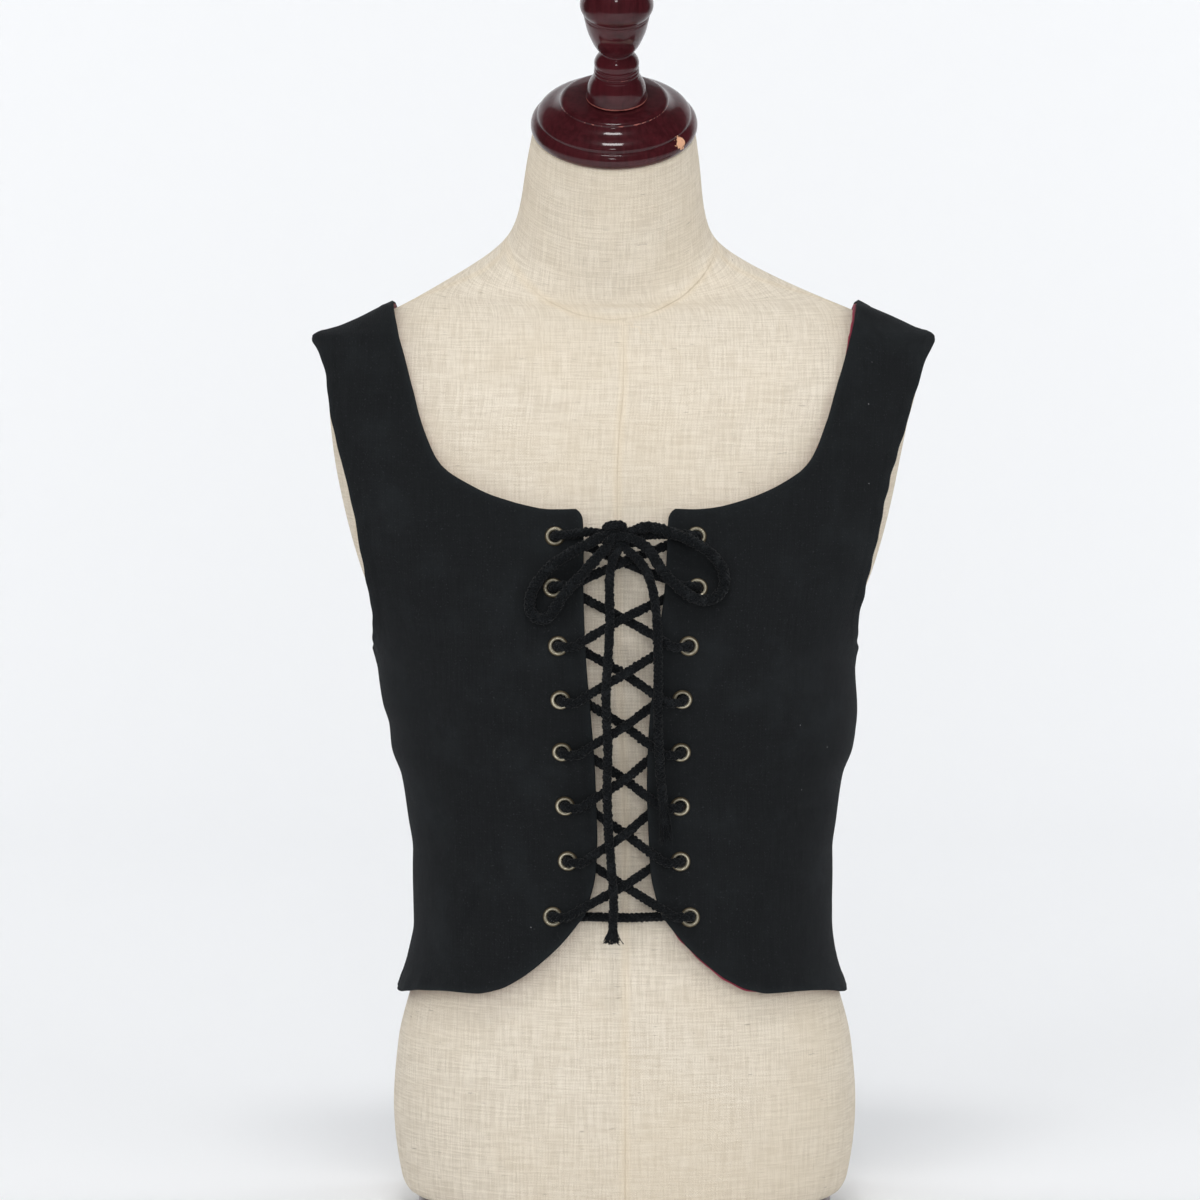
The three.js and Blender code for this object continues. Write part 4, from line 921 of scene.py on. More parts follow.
def cord_line(points, step=0.0008):
    """Evenly spaced points along a smooth curve through the given ones, tight where they lie close."""
    p = np.asarray(points, float)
    p = np.vstack([2 * p[0] - p[1], p, 2 * p[-1] - p[-2]])
    span = np.sqrt(np.linalg.norm(np.diff(p, axis=0), axis=1))[:, None]
    fine = []
    for i in range(1, len(p) - 2):
        before, own, after = span[i - 1], span[i], span[i + 1]
        leave = (p[i] - p[i - 1]) / before - (p[i + 1] - p[i - 1]) / (before + own) + (p[i + 1] - p[i]) / own
        arrive = (p[i + 1] - p[i]) / own - (p[i + 2] - p[i]) / (own + after) + (p[i + 2] - p[i + 1]) / after
        t = np.linspace(0, 1, 24, endpoint=False)[:, None]
        fine.append((2 * t ** 3 - 3 * t ** 2 + 1) * p[i] + (t ** 3 - 2 * t ** 2 + t) * own * leave
                    + (3 * t ** 2 - 2 * t ** 3) * p[i + 1] + (t ** 3 - t ** 2) * own * arrive)
    fine = np.vstack([*fine, p[-2:-1]])
    return evenly(fine, max(2, round(length_of(fine) / step)))


def cord_on_front(places):
    """A cord's line through places given by x, height and lift off the cloth."""
    return cord_line(on_front(*np.array(places, float).T))


def copies_of(line, amount, mode, **spacing):
    """Copies of a line as curves with even points, and each copy's number."""
    curve = read(line.tree, "GeometryNodeMeshToCurve", {0: line})
    even = read(line.tree, "GeometryNodeResampleCurve", {"Curve": curve, **spacing}, mode=mode)
    inputs = {"Geometry": even, "Amount": amount}
    copies = put(line.tree, "GeometryNodeDuplicateElements", inputs, domain="SPLINE").outputs
    return Reading(copies[0]), Reading(copies["Duplicate Index"])


def moved_round(curves, angle, reach):
    """The curves with each point moved off its line, by an angle round the line and a distance from it."""
    tree = curves.tree
    normal, tangent = (read(tree, "GeometryNodeInput" + way) for way in ("Normal", "Tangent"))
    side = read(tree, "ShaderNodeVectorMath", {0: tangent, 1: normal}, operation="CROSS_PRODUCT")
    parts = [read(tree, "ShaderNodeVectorMath", {0: way, "Scale": share * reach}, operation="SCALE")
             for way, share in ((normal, angle.cosine()), (side, angle.sine()))]
    offset = read(tree, "ShaderNodeVectorMath", dict(enumerate(parts)), operation="ADD")
    return read(tree, "GeometryNodeSetPosition", {"Geometry": curves, "Offset": offset})


def tube_round(curves, radius, sides):
    """A closed tube round each curve."""
    section = read(curves.tree, "GeometryNodeCurvePrimitiveCircle", {"Resolution": sides, "Radius": radius})
    inputs = {"Curve": curves, "Profile Curve": section, "Fill Caps": True}
    return read(curves.tree, "GeometryNodeCurveToMesh", inputs)


def make_plait_tree():
    """Eight strands that wind both ways round a line and pass over and under each other, with loose hairs."""
    tree, given, result = new_group(
        "plaited_cord", "GeometryNodeTree",
        (("Line", "Geometry"), ("Step", "Float", PLAIT_STEP), ("Plait Radius", "Float", PLAIT_RADIUS),
         ("Wave", "Float", PLAIT_WAVE), ("Pitch", "Float", PLAIT_PITCH),
         ("Strand Radius", "Float", STRAND_RADIUS),
         ("Hairs Per Square Metre", "Float", HAIRS_PER_SQUARE_METRE), ("Seed", "Int", 1),
         ("Hair Length", "Float", HAIR_LENGTH), ("Finish", "Material")),
        (("Geometry", "Geometry"),))
    strands, index = copies_of(given["Line"], STRANDS, "LENGTH", Length=given["Step"])
    run = read(tree, "GeometryNodeSplineParameter", output="Length")
    hand = index % 2 * 2 - 1
    wind = run / given["Pitch"] * (2 * math.pi)
    angle = hand * wind + (index / 2).floor() * (math.pi / 2)
    wave = (wind * (STRANDS / 2)).cosine() * hand
    uneven = noise(read(tree, "ShaderNodeCombineXYZ", {0: run * 160, 1: index}), 1, 1)
    radius = (wave * given["Wave"] + given["Plait Radius"]) * between(uneven, 0.3, 0.7, 0.80, 1.2)
    tube = tube_round(moved_round(strands, angle, radius), given["Strand Radius"], 5)
    roots = put(tree, "GeometryNodeDistributePointsOnFaces", {
        "Mesh": tube, "Density": given["Hairs Per Square Metre"], "Seed": given["Seed"]}).outputs
    inputs = {"Min": (-HAIR_TILT, -HAIR_TILT, 0), "Max": (HAIR_TILT, HAIR_TILT, 0), "Seed": 8}
    tilt = read(tree, "FunctionNodeRandomValue", inputs, data_type="FLOAT_VECTOR")
    tilted = read(tree, "FunctionNodeEulerToRotation", {0: tilt})
    inputs = {"Rotation": Reading(roots["Rotation"]), "Rotate By": tilted}
    turn = read(tree, "FunctionNodeRotateRotation", inputs, rotation_space="LOCAL")
    hair = read(tree, "GeometryNodeMeshCone", {
        "Vertices": 3, "Side Segments": 1, "Radius Top": 0.0, "Radius Bottom": HAIR_RADIUS,
        "Depth": given["Hair Length"]}, "Mesh", fill_type="TRIANGLE_FAN")
    hairs = read(tree, "GeometryNodeInstanceOnPoints", {
        "Points": Reading(roots["Points"]), "Instance": hair, "Rotation": turn})
    both = put(tree, "GeometryNodeJoinGeometry")
    for part in (hairs, tube):
        give(both.inputs[0], part)
    finish(Reading(both.outputs[0]), given, result)
    return tree


def make_black_cord():
    """Soft black cotton yarn: fine fibres along each strand and a faint grey bloom."""
    material, tree, shader = new_material("black_cord", (0.009, 0.009, 0.010))
    spot = own_place(tree)
    fibres = noise(spot, 1900, 3)
    bloom = between(noise(spot, 160, 3), 0.5, 0.75, 0, 0.5)
    base = blend(between(fibres, 0.4, 0.75), (0.0032, 0.0038, 0.0045), (0.0122, 0.0140, 0.0158))
    base = blend(bloom, base, (0.0185, 0.0205, 0.0225))
    set_up(shader, Base_Color=base, Roughness=0.95, Specular_IOR_Level=0.12, Sheen_Weight=0.06,
           Sheen_Roughness=0.5, Normal=bump(fibres, 0.6, 0.0003))
    return material


black_cord = make_black_cord()
plait_tree = make_plait_tree()


def plaited(name, lines, **sizes):
    """One object of plaited cord along one or more lines."""
    edges, start = [], 0
    for line in lines:
        edges += [(start + i, start + i + 1) for i in range(len(line) - 1)]
        start += len(line)
    piece = make_object(name, np.vstack(lines), [], edges=edges)
    return grow(piece, plait_tree, Finish=black_cord, **sizes)


# The pulled part is worn smoother, so it has fewer loose hairs.
LACING_HAIRS = 150000
LACING_MIDDLE = (0.0, 0.205, UNDER_EDGE)
INTO_KNOT = 0.006
left_lacing = cord_on_front([
    knot_port(172, KNOT_LACING_LIFT, INTO_KNOT), (-0.0223, 0.4498, 0.0049), *zigzag(-1), LACING_MIDDLE])
right_lacing = cord_on_front([
    knot_port(0, KNOT_LACING_LIFT, INTO_KNOT), (0.020, 0.4482, 0.0049), *zigzag(1), LACING_MIDDLE])
lacing_left = plaited("lacing_left", [left_lacing], Hairs_Per_Square_Metre=LACING_HAIRS)
lacing_right = plaited("lacing_right", [right_lacing], Hairs_Per_Square_Metre=LACING_HAIRS)
for lacing in (lacing_left, lacing_right):
    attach(lacing, "root")
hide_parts("lace_lacing")

# The bow's knot
# The two ends cross, and one passes round them. Only the round turns show, and the four cords run into them.
KNOT_TURNS = (
    # middle x and height from the knot's own, half width, half depth, turn from level in degrees
    (-0.0034, 0.0043, 0.0050, 0.0034, 4),
    (0.0034, -0.0030, 0.0060, 0.0036, -8),
    (-0.0058, -0.0040, 0.0036, 0.0030, 32),
)
KNOT_BOW = 0.0009
# The cords inside the knot: where each comes in and goes out in degrees, its lift and where it passes
KNOT_CORDS = (
    (187, 20, 0.0107, (-0.001, 0.0008)), (232, 335, 0.010, (0.0002, -0.0042)),
    (262, 287, 0.0092, (-0.001, -0.0035)),
)


def knot_turn(x, z, wide, deep, turn):
    """A closed turn of cord that passes over the front of the knot and back behind it."""
    round_way = np.linspace(0, 2 * math.pi, 60)
    across = wide * np.sin(round_way)
    c, s = heading(turn)
    bow = KNOT_BOW * np.cos(round_way)
    return on_front(
        KNOT["x"] + x + across * c, KNOT["z"] + z + across * s + bow, KNOT["lift"] + deep * np.cos(round_way))


knot_lines = [knot_turn(*values) for values in KNOT_TURNS]
for first, second, lift, (x, z) in KNOT_CORDS:
    knot_lines.append(cord_on_front([
        knot_port(first, lift, -0.0002), knot_port(first, lift, 0.004),
        (KNOT["x"] + x, KNOT["z"] + z, lift - 0.001), knot_port(second, lift, 0.004),
        knot_port(second, lift, -0.0002)]))
knot = plaited("bow_knot", knot_lines)
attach(knot, "root")
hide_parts("lace_knot")

# The bow's loops and tails
# Each loop leaves the knot, bends back and goes into it again. The tails hang straight down in front of the
# lacing, one nearly to the hem and the other to half its height.
BOW = {
    "loop_left": [
        knot_port(187, 0.0108), (-0.0218, 0.4419, 0.011), (-0.03, 0.4376, 0.0108), (-0.0377, 0.4336, 0.01),
        (-0.0453, 0.4287, 0.0088), (-0.0515, 0.423, 0.0074), (-0.0562, 0.4166, 0.0062),
        (-0.0592, 0.4096, 0.0053), (-0.0592, 0.4028, 0.0048), (-0.0553, 0.3979, 0.0048),
        (-0.0496, 0.3976, 0.0052), (-0.0448, 0.4016, 0.0072), (-0.041, 0.4074, 0.0096),
        (-0.036, 0.4134, 0.011), (-0.0304, 0.4194, 0.011), (-0.0247, 0.4254, 0.0108),
        (-0.0193, 0.4314, 0.0106), (-0.0148, 0.4362, 0.0104), knot_port(232, 0.01)],
    "loop_right": [
        knot_port(20, 0.0106), (0.0128, 0.4516, 0.0108), (0.02, 0.4506, 0.0109), (0.0285, 0.4478, 0.011),
        (0.0386, 0.444, 0.0108), (0.0472, 0.4396, 0.0098), (0.0544, 0.4342, 0.0082), (0.0596, 0.4278, 0.0066),
        (0.0616, 0.4208, 0.0056), (0.06, 0.414, 0.005), (0.0554, 0.4096, 0.005), (0.049, 0.4082, 0.006),
        (0.0422, 0.4094, 0.0084), (0.0356, 0.4128, 0.0106), (0.0298, 0.418, 0.011), (0.024, 0.424, 0.0108),
        (0.019, 0.4308, 0.0106), (0.015, 0.4372, 0.0104), knot_port(335, 0.01)],
    "tail_left": [
        knot_port(262, 0.0092), (-0.008, 0.4328, 0.0089), (-0.0102, 0.422, 0.0088), (-0.0107, 0.393, 0.0088),
        (-0.0118, 0.374, 0.0088), (-0.0128, 0.355, 0.0088), (-0.0123, 0.337, 0.0088),
        (-0.0112, 0.315, 0.0088), (-0.0115, 0.293, 0.0088), (-0.0104, 0.261, 0.0088),
        (-0.0091, 0.245, 0.0088), (-0.0078, 0.229, 0.0088),
        (-0.0074, 0.214, 0.0088), (-0.0078, 0.1984, 0.0088)],
    "tail_right": [
        knot_port(287, 0.0092), (0.0065, 0.4336, 0.009), (0.0126, 0.426, 0.009), (0.0172, 0.4144, 0.0091),
        (0.0202, 0.393, 0.0093), (0.0207, 0.374, 0.0095), (0.0206, 0.355, 0.0096), (0.0203, 0.337, 0.0096),
        (0.0208, 0.319, 0.0098), (0.0217, 0.299, 0.0102), (0.0228, 0.284, 0.0108)],
}
# The loops aren't pulled tight, so the cord is fuller there.
SLACK_CORD = {"Strand_Radius": 0.00128, "Plait_Radius": 0.0021}
# length, spread at the end, number of yarns and seed of each undone end
FRAYS = {"left": (0.0095, 0.0056, 150, 3), "right": (0.030, 0.0040, 130, 4)}
YARN_RADIUS, FRAY_START = 0.00028, 0.002
YARN_SPLAY, YARN_TURN, SHORTEST_YARN = 1.6, 2.5, 0.45


def make_fray_tree():
    """Loose yarns that run on from a cord's end, spread a little and are cut at different lengths."""
    tree, given, result = new_group(
        "undone_end", "GeometryNodeTree",
        (("Line", "Geometry"), ("Yarns", "Int", 60), ("Spread", "Float", 0.003), ("Seed", "Int", 0),
         ("Start Radius", "Float", 0.0025), ("Yarn Radius", "Float", YARN_RADIUS), ("Finish", "Material")),
        (("Geometry", "Geometry"),))
    yarns, index = copies_of(given["Line"], given["Yarns"], "COUNT", Count=14)
    share = read(tree, "GeometryNodeSplineParameter", output="Factor")

    def chance(low, high, own):
        """A number between low and high for each yarn."""
        inputs = {"Min": low, "Max": high, "ID": index, "Seed": given["Seed"] + own}
        return read(tree, "FunctionNodeRandomValue", inputs, 1, data_type="FLOAT")

    turn = chance(0.0, 2 * math.pi, 11)
    start = chance(0.0, 1.0, 12).root() * given["Start Radius"]
    reach = start + share.power(YARN_SPLAY) * given["Spread"] * chance(0.1, 1.0, 13)
    angle = turn + share * chance(-YARN_TURN, YARN_TURN, 14)
    whole = moved_round(yarns, angle, reach)
    cut = read(tree, "GeometryNodeTrimCurve", {0: whole, 3: chance(SHORTEST_YARN, 1.0, 15)}, mode="FACTOR")
    finish(tube_round(cut, given["Yarn Radius"], 4), given, result)
    return tree


fray_tree = make_fray_tree()
bow_lines = {name: cord_on_front(places) for name, places in BOW.items()}
for side in ("left", "right"):
    line = bow_lines["loop_" + side]
    loop = plaited("loop_" + side, [line], **SLACK_CORD)
    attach(loop, "root")
    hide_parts("lace_loop_" + side)
for side in ("left", "right"):
    line = bow_lines["tail_" + side]
    tail = plaited("tail_" + side, [line])
    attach(tail, "root")
    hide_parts("lace_tail_" + side)
    long, spread, yarns, seed = FRAYS[side]
    down = (line[-1] - line[-5]) / np.linalg.norm(line[-1] - line[-5])
    name, ends = "undone_end_" + side, [line[-1] - down * FRAY_START, line[-1] + down * long]
    fray = grow(make_object(name, ends, [], edges=[(0, 1)]), fray_tree, Yarns=yarns, Spread=spread, Seed=seed,
                Finish=black_cord)
    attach(fray, "root")
    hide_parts("lace_fray_" + side)

# The linen form
# A stuffed torso covered in unbleached linen: panels sewn together down the middle, at the sides and round
# the base of the neck, and an oval over each arm's stump. It narrows to the waist and leans into the neck.
# height, half width, depth in front, depth behind, squareness, tilt in degrees, middle y, middle x
FORM_SECTIONS = np.array([
    (0.012, 0.137, 0.087, 0.095, 2.3, 0, 0, 0), (0.015, 0.141, 0.091, 0.099, 2.3, 0, 0, 0),
    (0.024, 0.145, 0.094, 0.103, 2.3, 0, 0, 0), (0.07, 0.15, 0.098, 0.11, 2.3, 0, 0, 0),
    (0.11, 0.147, 0.097, 0.107, 2.3, 0, 0, 0), (0.147, 0.138, 0.094, 0.098, 2.3, 0, 0, 0),
    (0.19, 0.126, 0.088, 0.088, 2.3, 0, 0, 0), (0.237, 0.121, 0.084, 0.082, 2.3, 0, 0, 0),
    (0.286, 0.129, 0.09, 0.086, 2.35, 0, 0, -0.0008), (0.318, 0.1375, 0.096, 0.09, 2.4, 0, 0, -0.0018),
    (0.357, 0.144, 0.101, 0.093, 2.45, 0, 0, -0.004), (0.39, 0.1535, 0.102, 0.095, 2.5, 0, 0, -0.005),
    (0.42, 0.165, 0.099, 0.097, 2.6, 0, 0, -0.005), (0.45, 0.1735, 0.092, 0.098, 2.7, 0, 0, -0.005),
    (0.48, 0.18, 0.083, 0.096, 2.7, 0, 0, -0.005), (0.51, 0.185, 0.074, 0.091, 2.7, 0, 0, -0.004),
    (0.54, 0.189, 0.063, 0.081, 2.6, 0, 0, -0.0012), (0.56, 0.1875, 0.053, 0.069, 2.2, 0, 0, -0.001),
    (0.568, 0.1825, 0.0485, 0.066, 2, 0, 0, -0.0012), (0.572, 0.176, 0.047, 0.065, 1.88, 0, 0, -0.0008),
    (0.587, 0.141, 0.045, 0.064, 1.75, 0, 0, -0.0015),
    (0.597, 0.1194, 0.047, 0.06, 1.85, 10, 0.005, -0.006),
    (0.609, 0.0883, 0.05, 0.055, 2, 21, 0.008, -0.009),
    (0.621, 0.0705, 0.051, 0.053, 2, 26, 0.006, -0.0095),
    (0.637, 0.0619, 0.052, 0.052, 2, 28, 0.001, -0.0088),
    (0.655, 0.058, 0.051, 0.0515, 2, 28, -0.006, -0.0083),
    (0.674, 0.0558, 0.05, 0.05, 2, 28, -0.014, -0.0078), (0.7, 0.0515, 0.05, 0.05, 2, 28, -0.024, -0.007),
])
FORM_BUST = {"height": 0.012, "inward": 0.062}
FORM_FOOT, NECK_TOP_HEIGHT = 0.0123, 0.7
FORM_AROUND = 216
# the rings of the skin: from and to which height, and how many
FORM_LEVELS = ((FORM_FOOT, 0.03, 10), (0.034, 0.53, 110), (0.5335, 0.61, 36), (0.6125, NECK_TOP_HEIGHT, 36))
# The seam round the neck's base in front: how far from the neck's own middle, and its height
NECK_SEAM = (
    (0, 0.5803), (0.02, 0.5834), (0.029, 0.5866), (0.0372, 0.5905), (0.0454, 0.595), (0.05, 0.5988),
    (0.056, 0.6045), (0.061, 0.611), (0.065, 0.618), (0.068, 0.628),
)
FORM_SMOOTHED_FROM, FORM_SMOOTHINGS = 0.55, 14
NECK_SEAM_SIDE, NECK_SEAM_BACK, NECK_MIDDLE = 0.626, 0.004, -0.0085
ARM_OVAL = {"height": 0.487, "wide": 0.047, "high": 0.067, "reach": 0.055, "from": 0.1}
SIDE_SEAM_FROM = 0.06
SLUBS = (
    (1.0, 0.07, 1700, 0.54, 0.60), (0.07, 1.0, 1700, 0.54, 0.62), (1.0, 0.12, 850, 0.58, 0.22),
    (0.12, 1.0, 850, 0.58, 0.22),
)

form = sections_as_curves(FORM_SECTIONS, ("side", "front", "back", "square", "tilt", "y", "x"))


def form_point(turn, z):
    """A point of the form's skin, by the turn round it from its right side, where 90 degrees is the back."""
    power = 2 / form["square"](z)
    out = np.sign(np.cos(turn)) * np.abs(np.cos(turn)) ** power * form["side"](z)
    in_front = np.sin(turn) < 0
    depth = np.abs(np.sin(turn)) ** power * np.where(in_front, -form["front"](z), form["back"](z))
    mound = bust_mound(out, z, **FORM_BUST) * (1 - np.abs(np.cos(turn)) ** 6)
    depth = depth - np.where(in_front, mound, 0)
    tilt = np.radians(form["tilt"](z))
    return np.stack([
        form["x"](z) + out, seam_plane + form["y"](z) + depth * np.cos(tilt), z + depth * np.sin(tilt)], -1)


def make_linen():
    """Unbleached linen: a plain weave with slubs and grey flecks, and seams where the panels meet, with painted
    shade in their furrows and a faint painted highlight beside them.
    """
    material, tree, shader = new_material("linen", (0.76, 0.68, 0.55))
    spot = own_place(tree)
    cut = read(tree, "ShaderNodeUVMap", uv_map="cut")
    height, shade = woven(tree, 1150, 2, 22)
    base = blend(between(shade, 0.34, 0.66), (0.635, 0.558, 0.450), (0.825, 0.750, 0.634))
    # thick threads: their stretch across and up, the size of their pattern, how few there are, and their
    # darkness
    for across, up, scale, low, dark in SLUBS:
        slub = between(noise(drawn_out(cut, across, up, 1.0), scale, 3), low, 0.78, 0, dark)
        base = blend(slub, base, (0.47, 0.40, 0.31))
    fleck = between(noise(drawn_out(cut, 0.16, 1.0, 1.0), 520, 4), 0.67, 0.75, 0, 0.7)
    base = blend(fleck, base, (0.30, 0.25, 0.20))
    cloudy = noise(spot, 7, 5, Roughness=0.6)
    base = blend(between(cloudy, 0.38, 0.68, 0, 0.4), base, (0.70, 0.60, 0.455))
    from_seam = abs(own_value(tree, "seam"))
    ridge = between(from_seam, 0.0008, 0.0050, 1, 0)
    # the dark line in each seam is painted shade in its furrow: it is patchy and stronger on the viewer's
    # right, and the same mask also sinks the furrow
    across = read(tree, "ShaderNodeSeparateXYZ", {0: spot}, "X")
    furrow_and_shade_strength = between(cloudy, 0.42, 0.58, 0.25, 1) * between(across, -0.01, 0.04, 0.5, 1.1)
    near = between(from_seam, 0, 0.0008, 1, 0) * furrow_and_shade_strength
    base = blend(near * 0.75, base, (0.38, 0.30, 0.21))
    # a faint painted highlight along the raised ridge beside each seam
    base = blend(ridge * 0.14, base, (0.84, 0.68, 0.45))
    groove = bump(ridge * 0.35 - near, 0.45, 0.0005)
    set_up(shader, Base_Color=base, Roughness=0.95, Specular_IOR_Level=0.12,
           Normal=bump(height, 0.5, 0.0003, Normal=groove))
    return material


def make_torso(name):
    """The form's skin as rings, with the distance to its nearest seam at every point."""
    heights = np.concatenate([np.linspace(*levels) for levels in FORM_LEVELS])
    turn = -math.pi / 2 + np.arange(FORM_AROUND) / FORM_AROUND * 2 * math.pi
    turns, levels = np.meshgrid(turn, heights)
    sections = np.maximum(levels, FORM_SECTIONS[0, 0])
    points = form_point(turns, sections)
    points[0, :, 2] = FORM_FOOT
    upper = slice(int(np.argmax(heights > FORM_SMOOTHED_FROM)), None)
    for _ in range(FORM_SMOOTHINGS):
        rows = points[upper]
        rows[1:-1] = (rows[:-2] + 2 * rows[1:-1] + rows[2:]) / 4
    number = np.arange(points.shape[0] * FORM_AROUND).reshape(-1, FORM_AROUND)
    faces = ring_faces(number)
    total = number.size
    middles = np.array([points[0].mean(0), points[-1].mean(0)])
    for i in range(FORM_AROUND):
        j = (i + 1) % FORM_AROUND
        faces += [(total, number[0, j], number[0, i]), (total + 1, number[-1, i], number[-1, j])]
    around = np.linalg.norm(np.roll(points, -1, 1) - points, axis=2)
    run = np.cumsum(around, axis=1) - around
    run = np.where(turns > math.pi / 2, run - around.sum(1)[:, None], run)
    climb = np.linalg.norm(np.diff(points, axis=0), axis=2)
    climbed = np.vstack([np.zeros(FORM_AROUND), np.cumsum(climb, axis=0)])
    rise, stretch = climbed.mean(1), np.gradient(climbed, heights, axis=0)
    from_neck = np.minimum(np.abs(points[..., 0] - NECK_MIDDLE), NECK_SEAM[-1][0])
    on_neck = points[..., 2] - steady_curve(*zip(*NECK_SEAM))(from_neck)
    last_under = len(heights) - 2 - np.argmax((on_neck < 0)[-2::-1], axis=0)
    column = np.arange(FORM_AROUND)
    under, over = on_neck[last_under, column], on_neck[last_under + 1, column]
    share = np.clip(under / (under - over), 0, 1)
    in_front = heights[last_under] + share * (heights[last_under + 1] - heights[last_under])
    level = np.where(np.sin(turn) < 0, in_front, NECK_SEAM_SIDE - NECK_SEAM_BACK * np.sin(turn))
    above_neck = (levels - level) * stretch
    middle = points[..., 0] - form["x"](sections)
    beside = points[..., 1] - seam_plane
    oval = np.hypot(beside / ARM_OVAL["wide"], (points[..., 2] - ARM_OVAL["height"]) / ARM_OVAL["high"]) - 1
    arm = np.where(np.abs(middle) > ARM_OVAL["from"], oval * ARM_OVAL["reach"], 1)
    in_body = above_neck < 0
    side = np.where(in_body & (arm > 0) & (np.abs(middle) > SIDE_SEAM_FROM), beside, 1)
    centre = np.where(in_body | (np.sin(turns) > 0), middle, 1)
    choices = np.stack([above_neck, arm, side, centre])
    nearest = np.take_along_axis(choices, np.abs(choices).argmin(0)[None], 0)[0]
    piece = make_object(name, np.vstack([points.reshape(-1, 3), middles]), faces, (make_linen(),))
    places = np.stack([run, np.broadcast_to(rise[:, None], run.shape)], -1).reshape(-1, 2)
    give_map(piece, np.vstack([places, [(0, 0), (0, rise[-1])]]))
    give_values(piece, "seam", np.concatenate([nearest.ravel(), [1, 1]]))
    return piece


torso = make_torso("linen_torso")
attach(torso, "root")
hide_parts("form_torso")

# The wooden parts
# A flat board closes the form below. A turned and moulded cap with a finial closes the neck. All of it is
# hardwood, stained dark red-brown and varnished to a high gloss, with a chip in the cap's rim. Its rubbed
# ridges are painted pale, as worn varnish and as painted highlights.
BOARD_HEIGHT, BOARD_INSET, BOARD_ROUND = 0.012, 0.003, 0.0012
CAP_PROFILE = (
    (0, 0), (0.0495, 0), (0.0512, 0.0004), (0.0524, 0.0016), (0.0530, 0.0034), (0.0530, 0.0052),
    (0.0525, 0.007), (0.0514, 0.0086), (0.0500, 0.00969), (0.0490, 0.0102), (0.0487, 0.01072),
    (0.0489, 0.01123), (0.0488, 0.01226), (0.0480, 0.01347), (0.0464, 0.01484), (0.0442, 0.01604),
    (0.0418, 0.0169), (0.0395, 0.01759), (0.0374, 0.01862), (0.0358, 0.01982), (0.0348, 0.02085),
    (0.0344, 0.02137), (0.0345, 0.02197), (0.0341, 0.02266), (0.0331, 0.02326), (0.0315, 0.0236),
    (0.0212, 0.0236), (0, 0.0236),
)
FINIAL_PROFILE = (
    (0, 0), (0.019, 0), (0.0195, 0.0005), (0.0197, 0.0014), (0.0195, 0.00255), (0.0191, 0.00349),
    (0.019, 0.00491), (0.0186, 0.0074), (0.0179, 0.00975), (0.0169, 0.012), (0.0158, 0.01389),
    (0.015, 0.01521), (0.0145, 0.01613), (0.01435, 0.01687), (0.0139, 0.01733), (0.01385, 0.01769),
    (0.0142, 0.01816), (0.0144, 0.0188), (0.0143, 0.01945), (0.0138, 0.02), (0.01375, 0.02047),
    (0.0141, 0.02093), (0.0142, 0.02149), (0.0139, 0.02206), (0.0137, 0.02244), (0.0138, 0.02292),
    (0.0141, 0.02368), (0.01425, 0.02491), (0.0141, 0.02627), (0.0136, 0.02764), (0.0128, 0.02901),
    (0.0117, 0.0304), (0.0105, 0.0315), (0.0099, 0.0323), (0.0098, 0.03296), (0.0103, 0.03362),
    (0.0114, 0.03456), (0.0126, 0.03589), (0.0138, 0.03772), (0.015, 0.03984), (0.0162, 0.04254),
    (0.0174, 0.04544), (0.0185, 0.04839), (0.0193, 0.05132), (0.0199, 0.0543), (0.0204, 0.0569),
    (0.02055, 0.05813), (0.0203, 0.05869), (0.0203, 0.05907), (0.0208, 0.05954), (0.0211, 0.06002),
    (0.021, 0.06049), (0.0209, 0.06088), (0.0213, 0.06156), (0.0221, 0.06272), (0.0228, 0.06408),
    (0.0232, 0.06582), (0.0232, 0.0679), (0.0227, 0.0701), (0.0219, 0.0721), (0.0205, 0.0755),
    (0.0183, 0.0789), (0.0151, 0.0821), (0.0109, 0.0846), (0.0059, 0.0861), (0, 0.0865),
)
FINIAL_SHIFT = 0.0015
TURNED_SIDES = 128
# where the chip lies on the cap, by radius, height and turn from the right in degrees, its reach, and how far
# its edge goes in and out
CHIP = {"radius": 0.0518, "height": 0.0078, "turn": -36, "reach": 0.0084, "jagged": 0.009}

neck_tilt = math.radians(form["tilt"](NECK_TOP_HEIGHT))
neck_axis = Vector((0, -math.sin(neck_tilt), math.cos(neck_tilt)))
neck_middle = (float(form["x"](NECK_TOP_HEIGHT)), seam_plane + float(form["y"](NECK_TOP_HEIGHT)))
neck_top = Vector((*neck_middle, NECK_TOP_HEIGHT))
cap_foot = neck_top + neck_axis * 2 * SEAM_GAP
finial_foot = cap_foot + neck_axis * (CAP_PROFILE[-1][1] + 2 * SEAM_GAP) + Vector((FINIAL_SHIFT, 0, 0))
chip_x, chip_y = heading(CHIP["turn"])
chip_side = Vector((chip_x, 0, 0)) + neck_axis.cross(Vector((1, 0, 0))) * chip_y
chip_spot = cap_foot + chip_side * CHIP["radius"] + neck_axis * CHIP["height"]


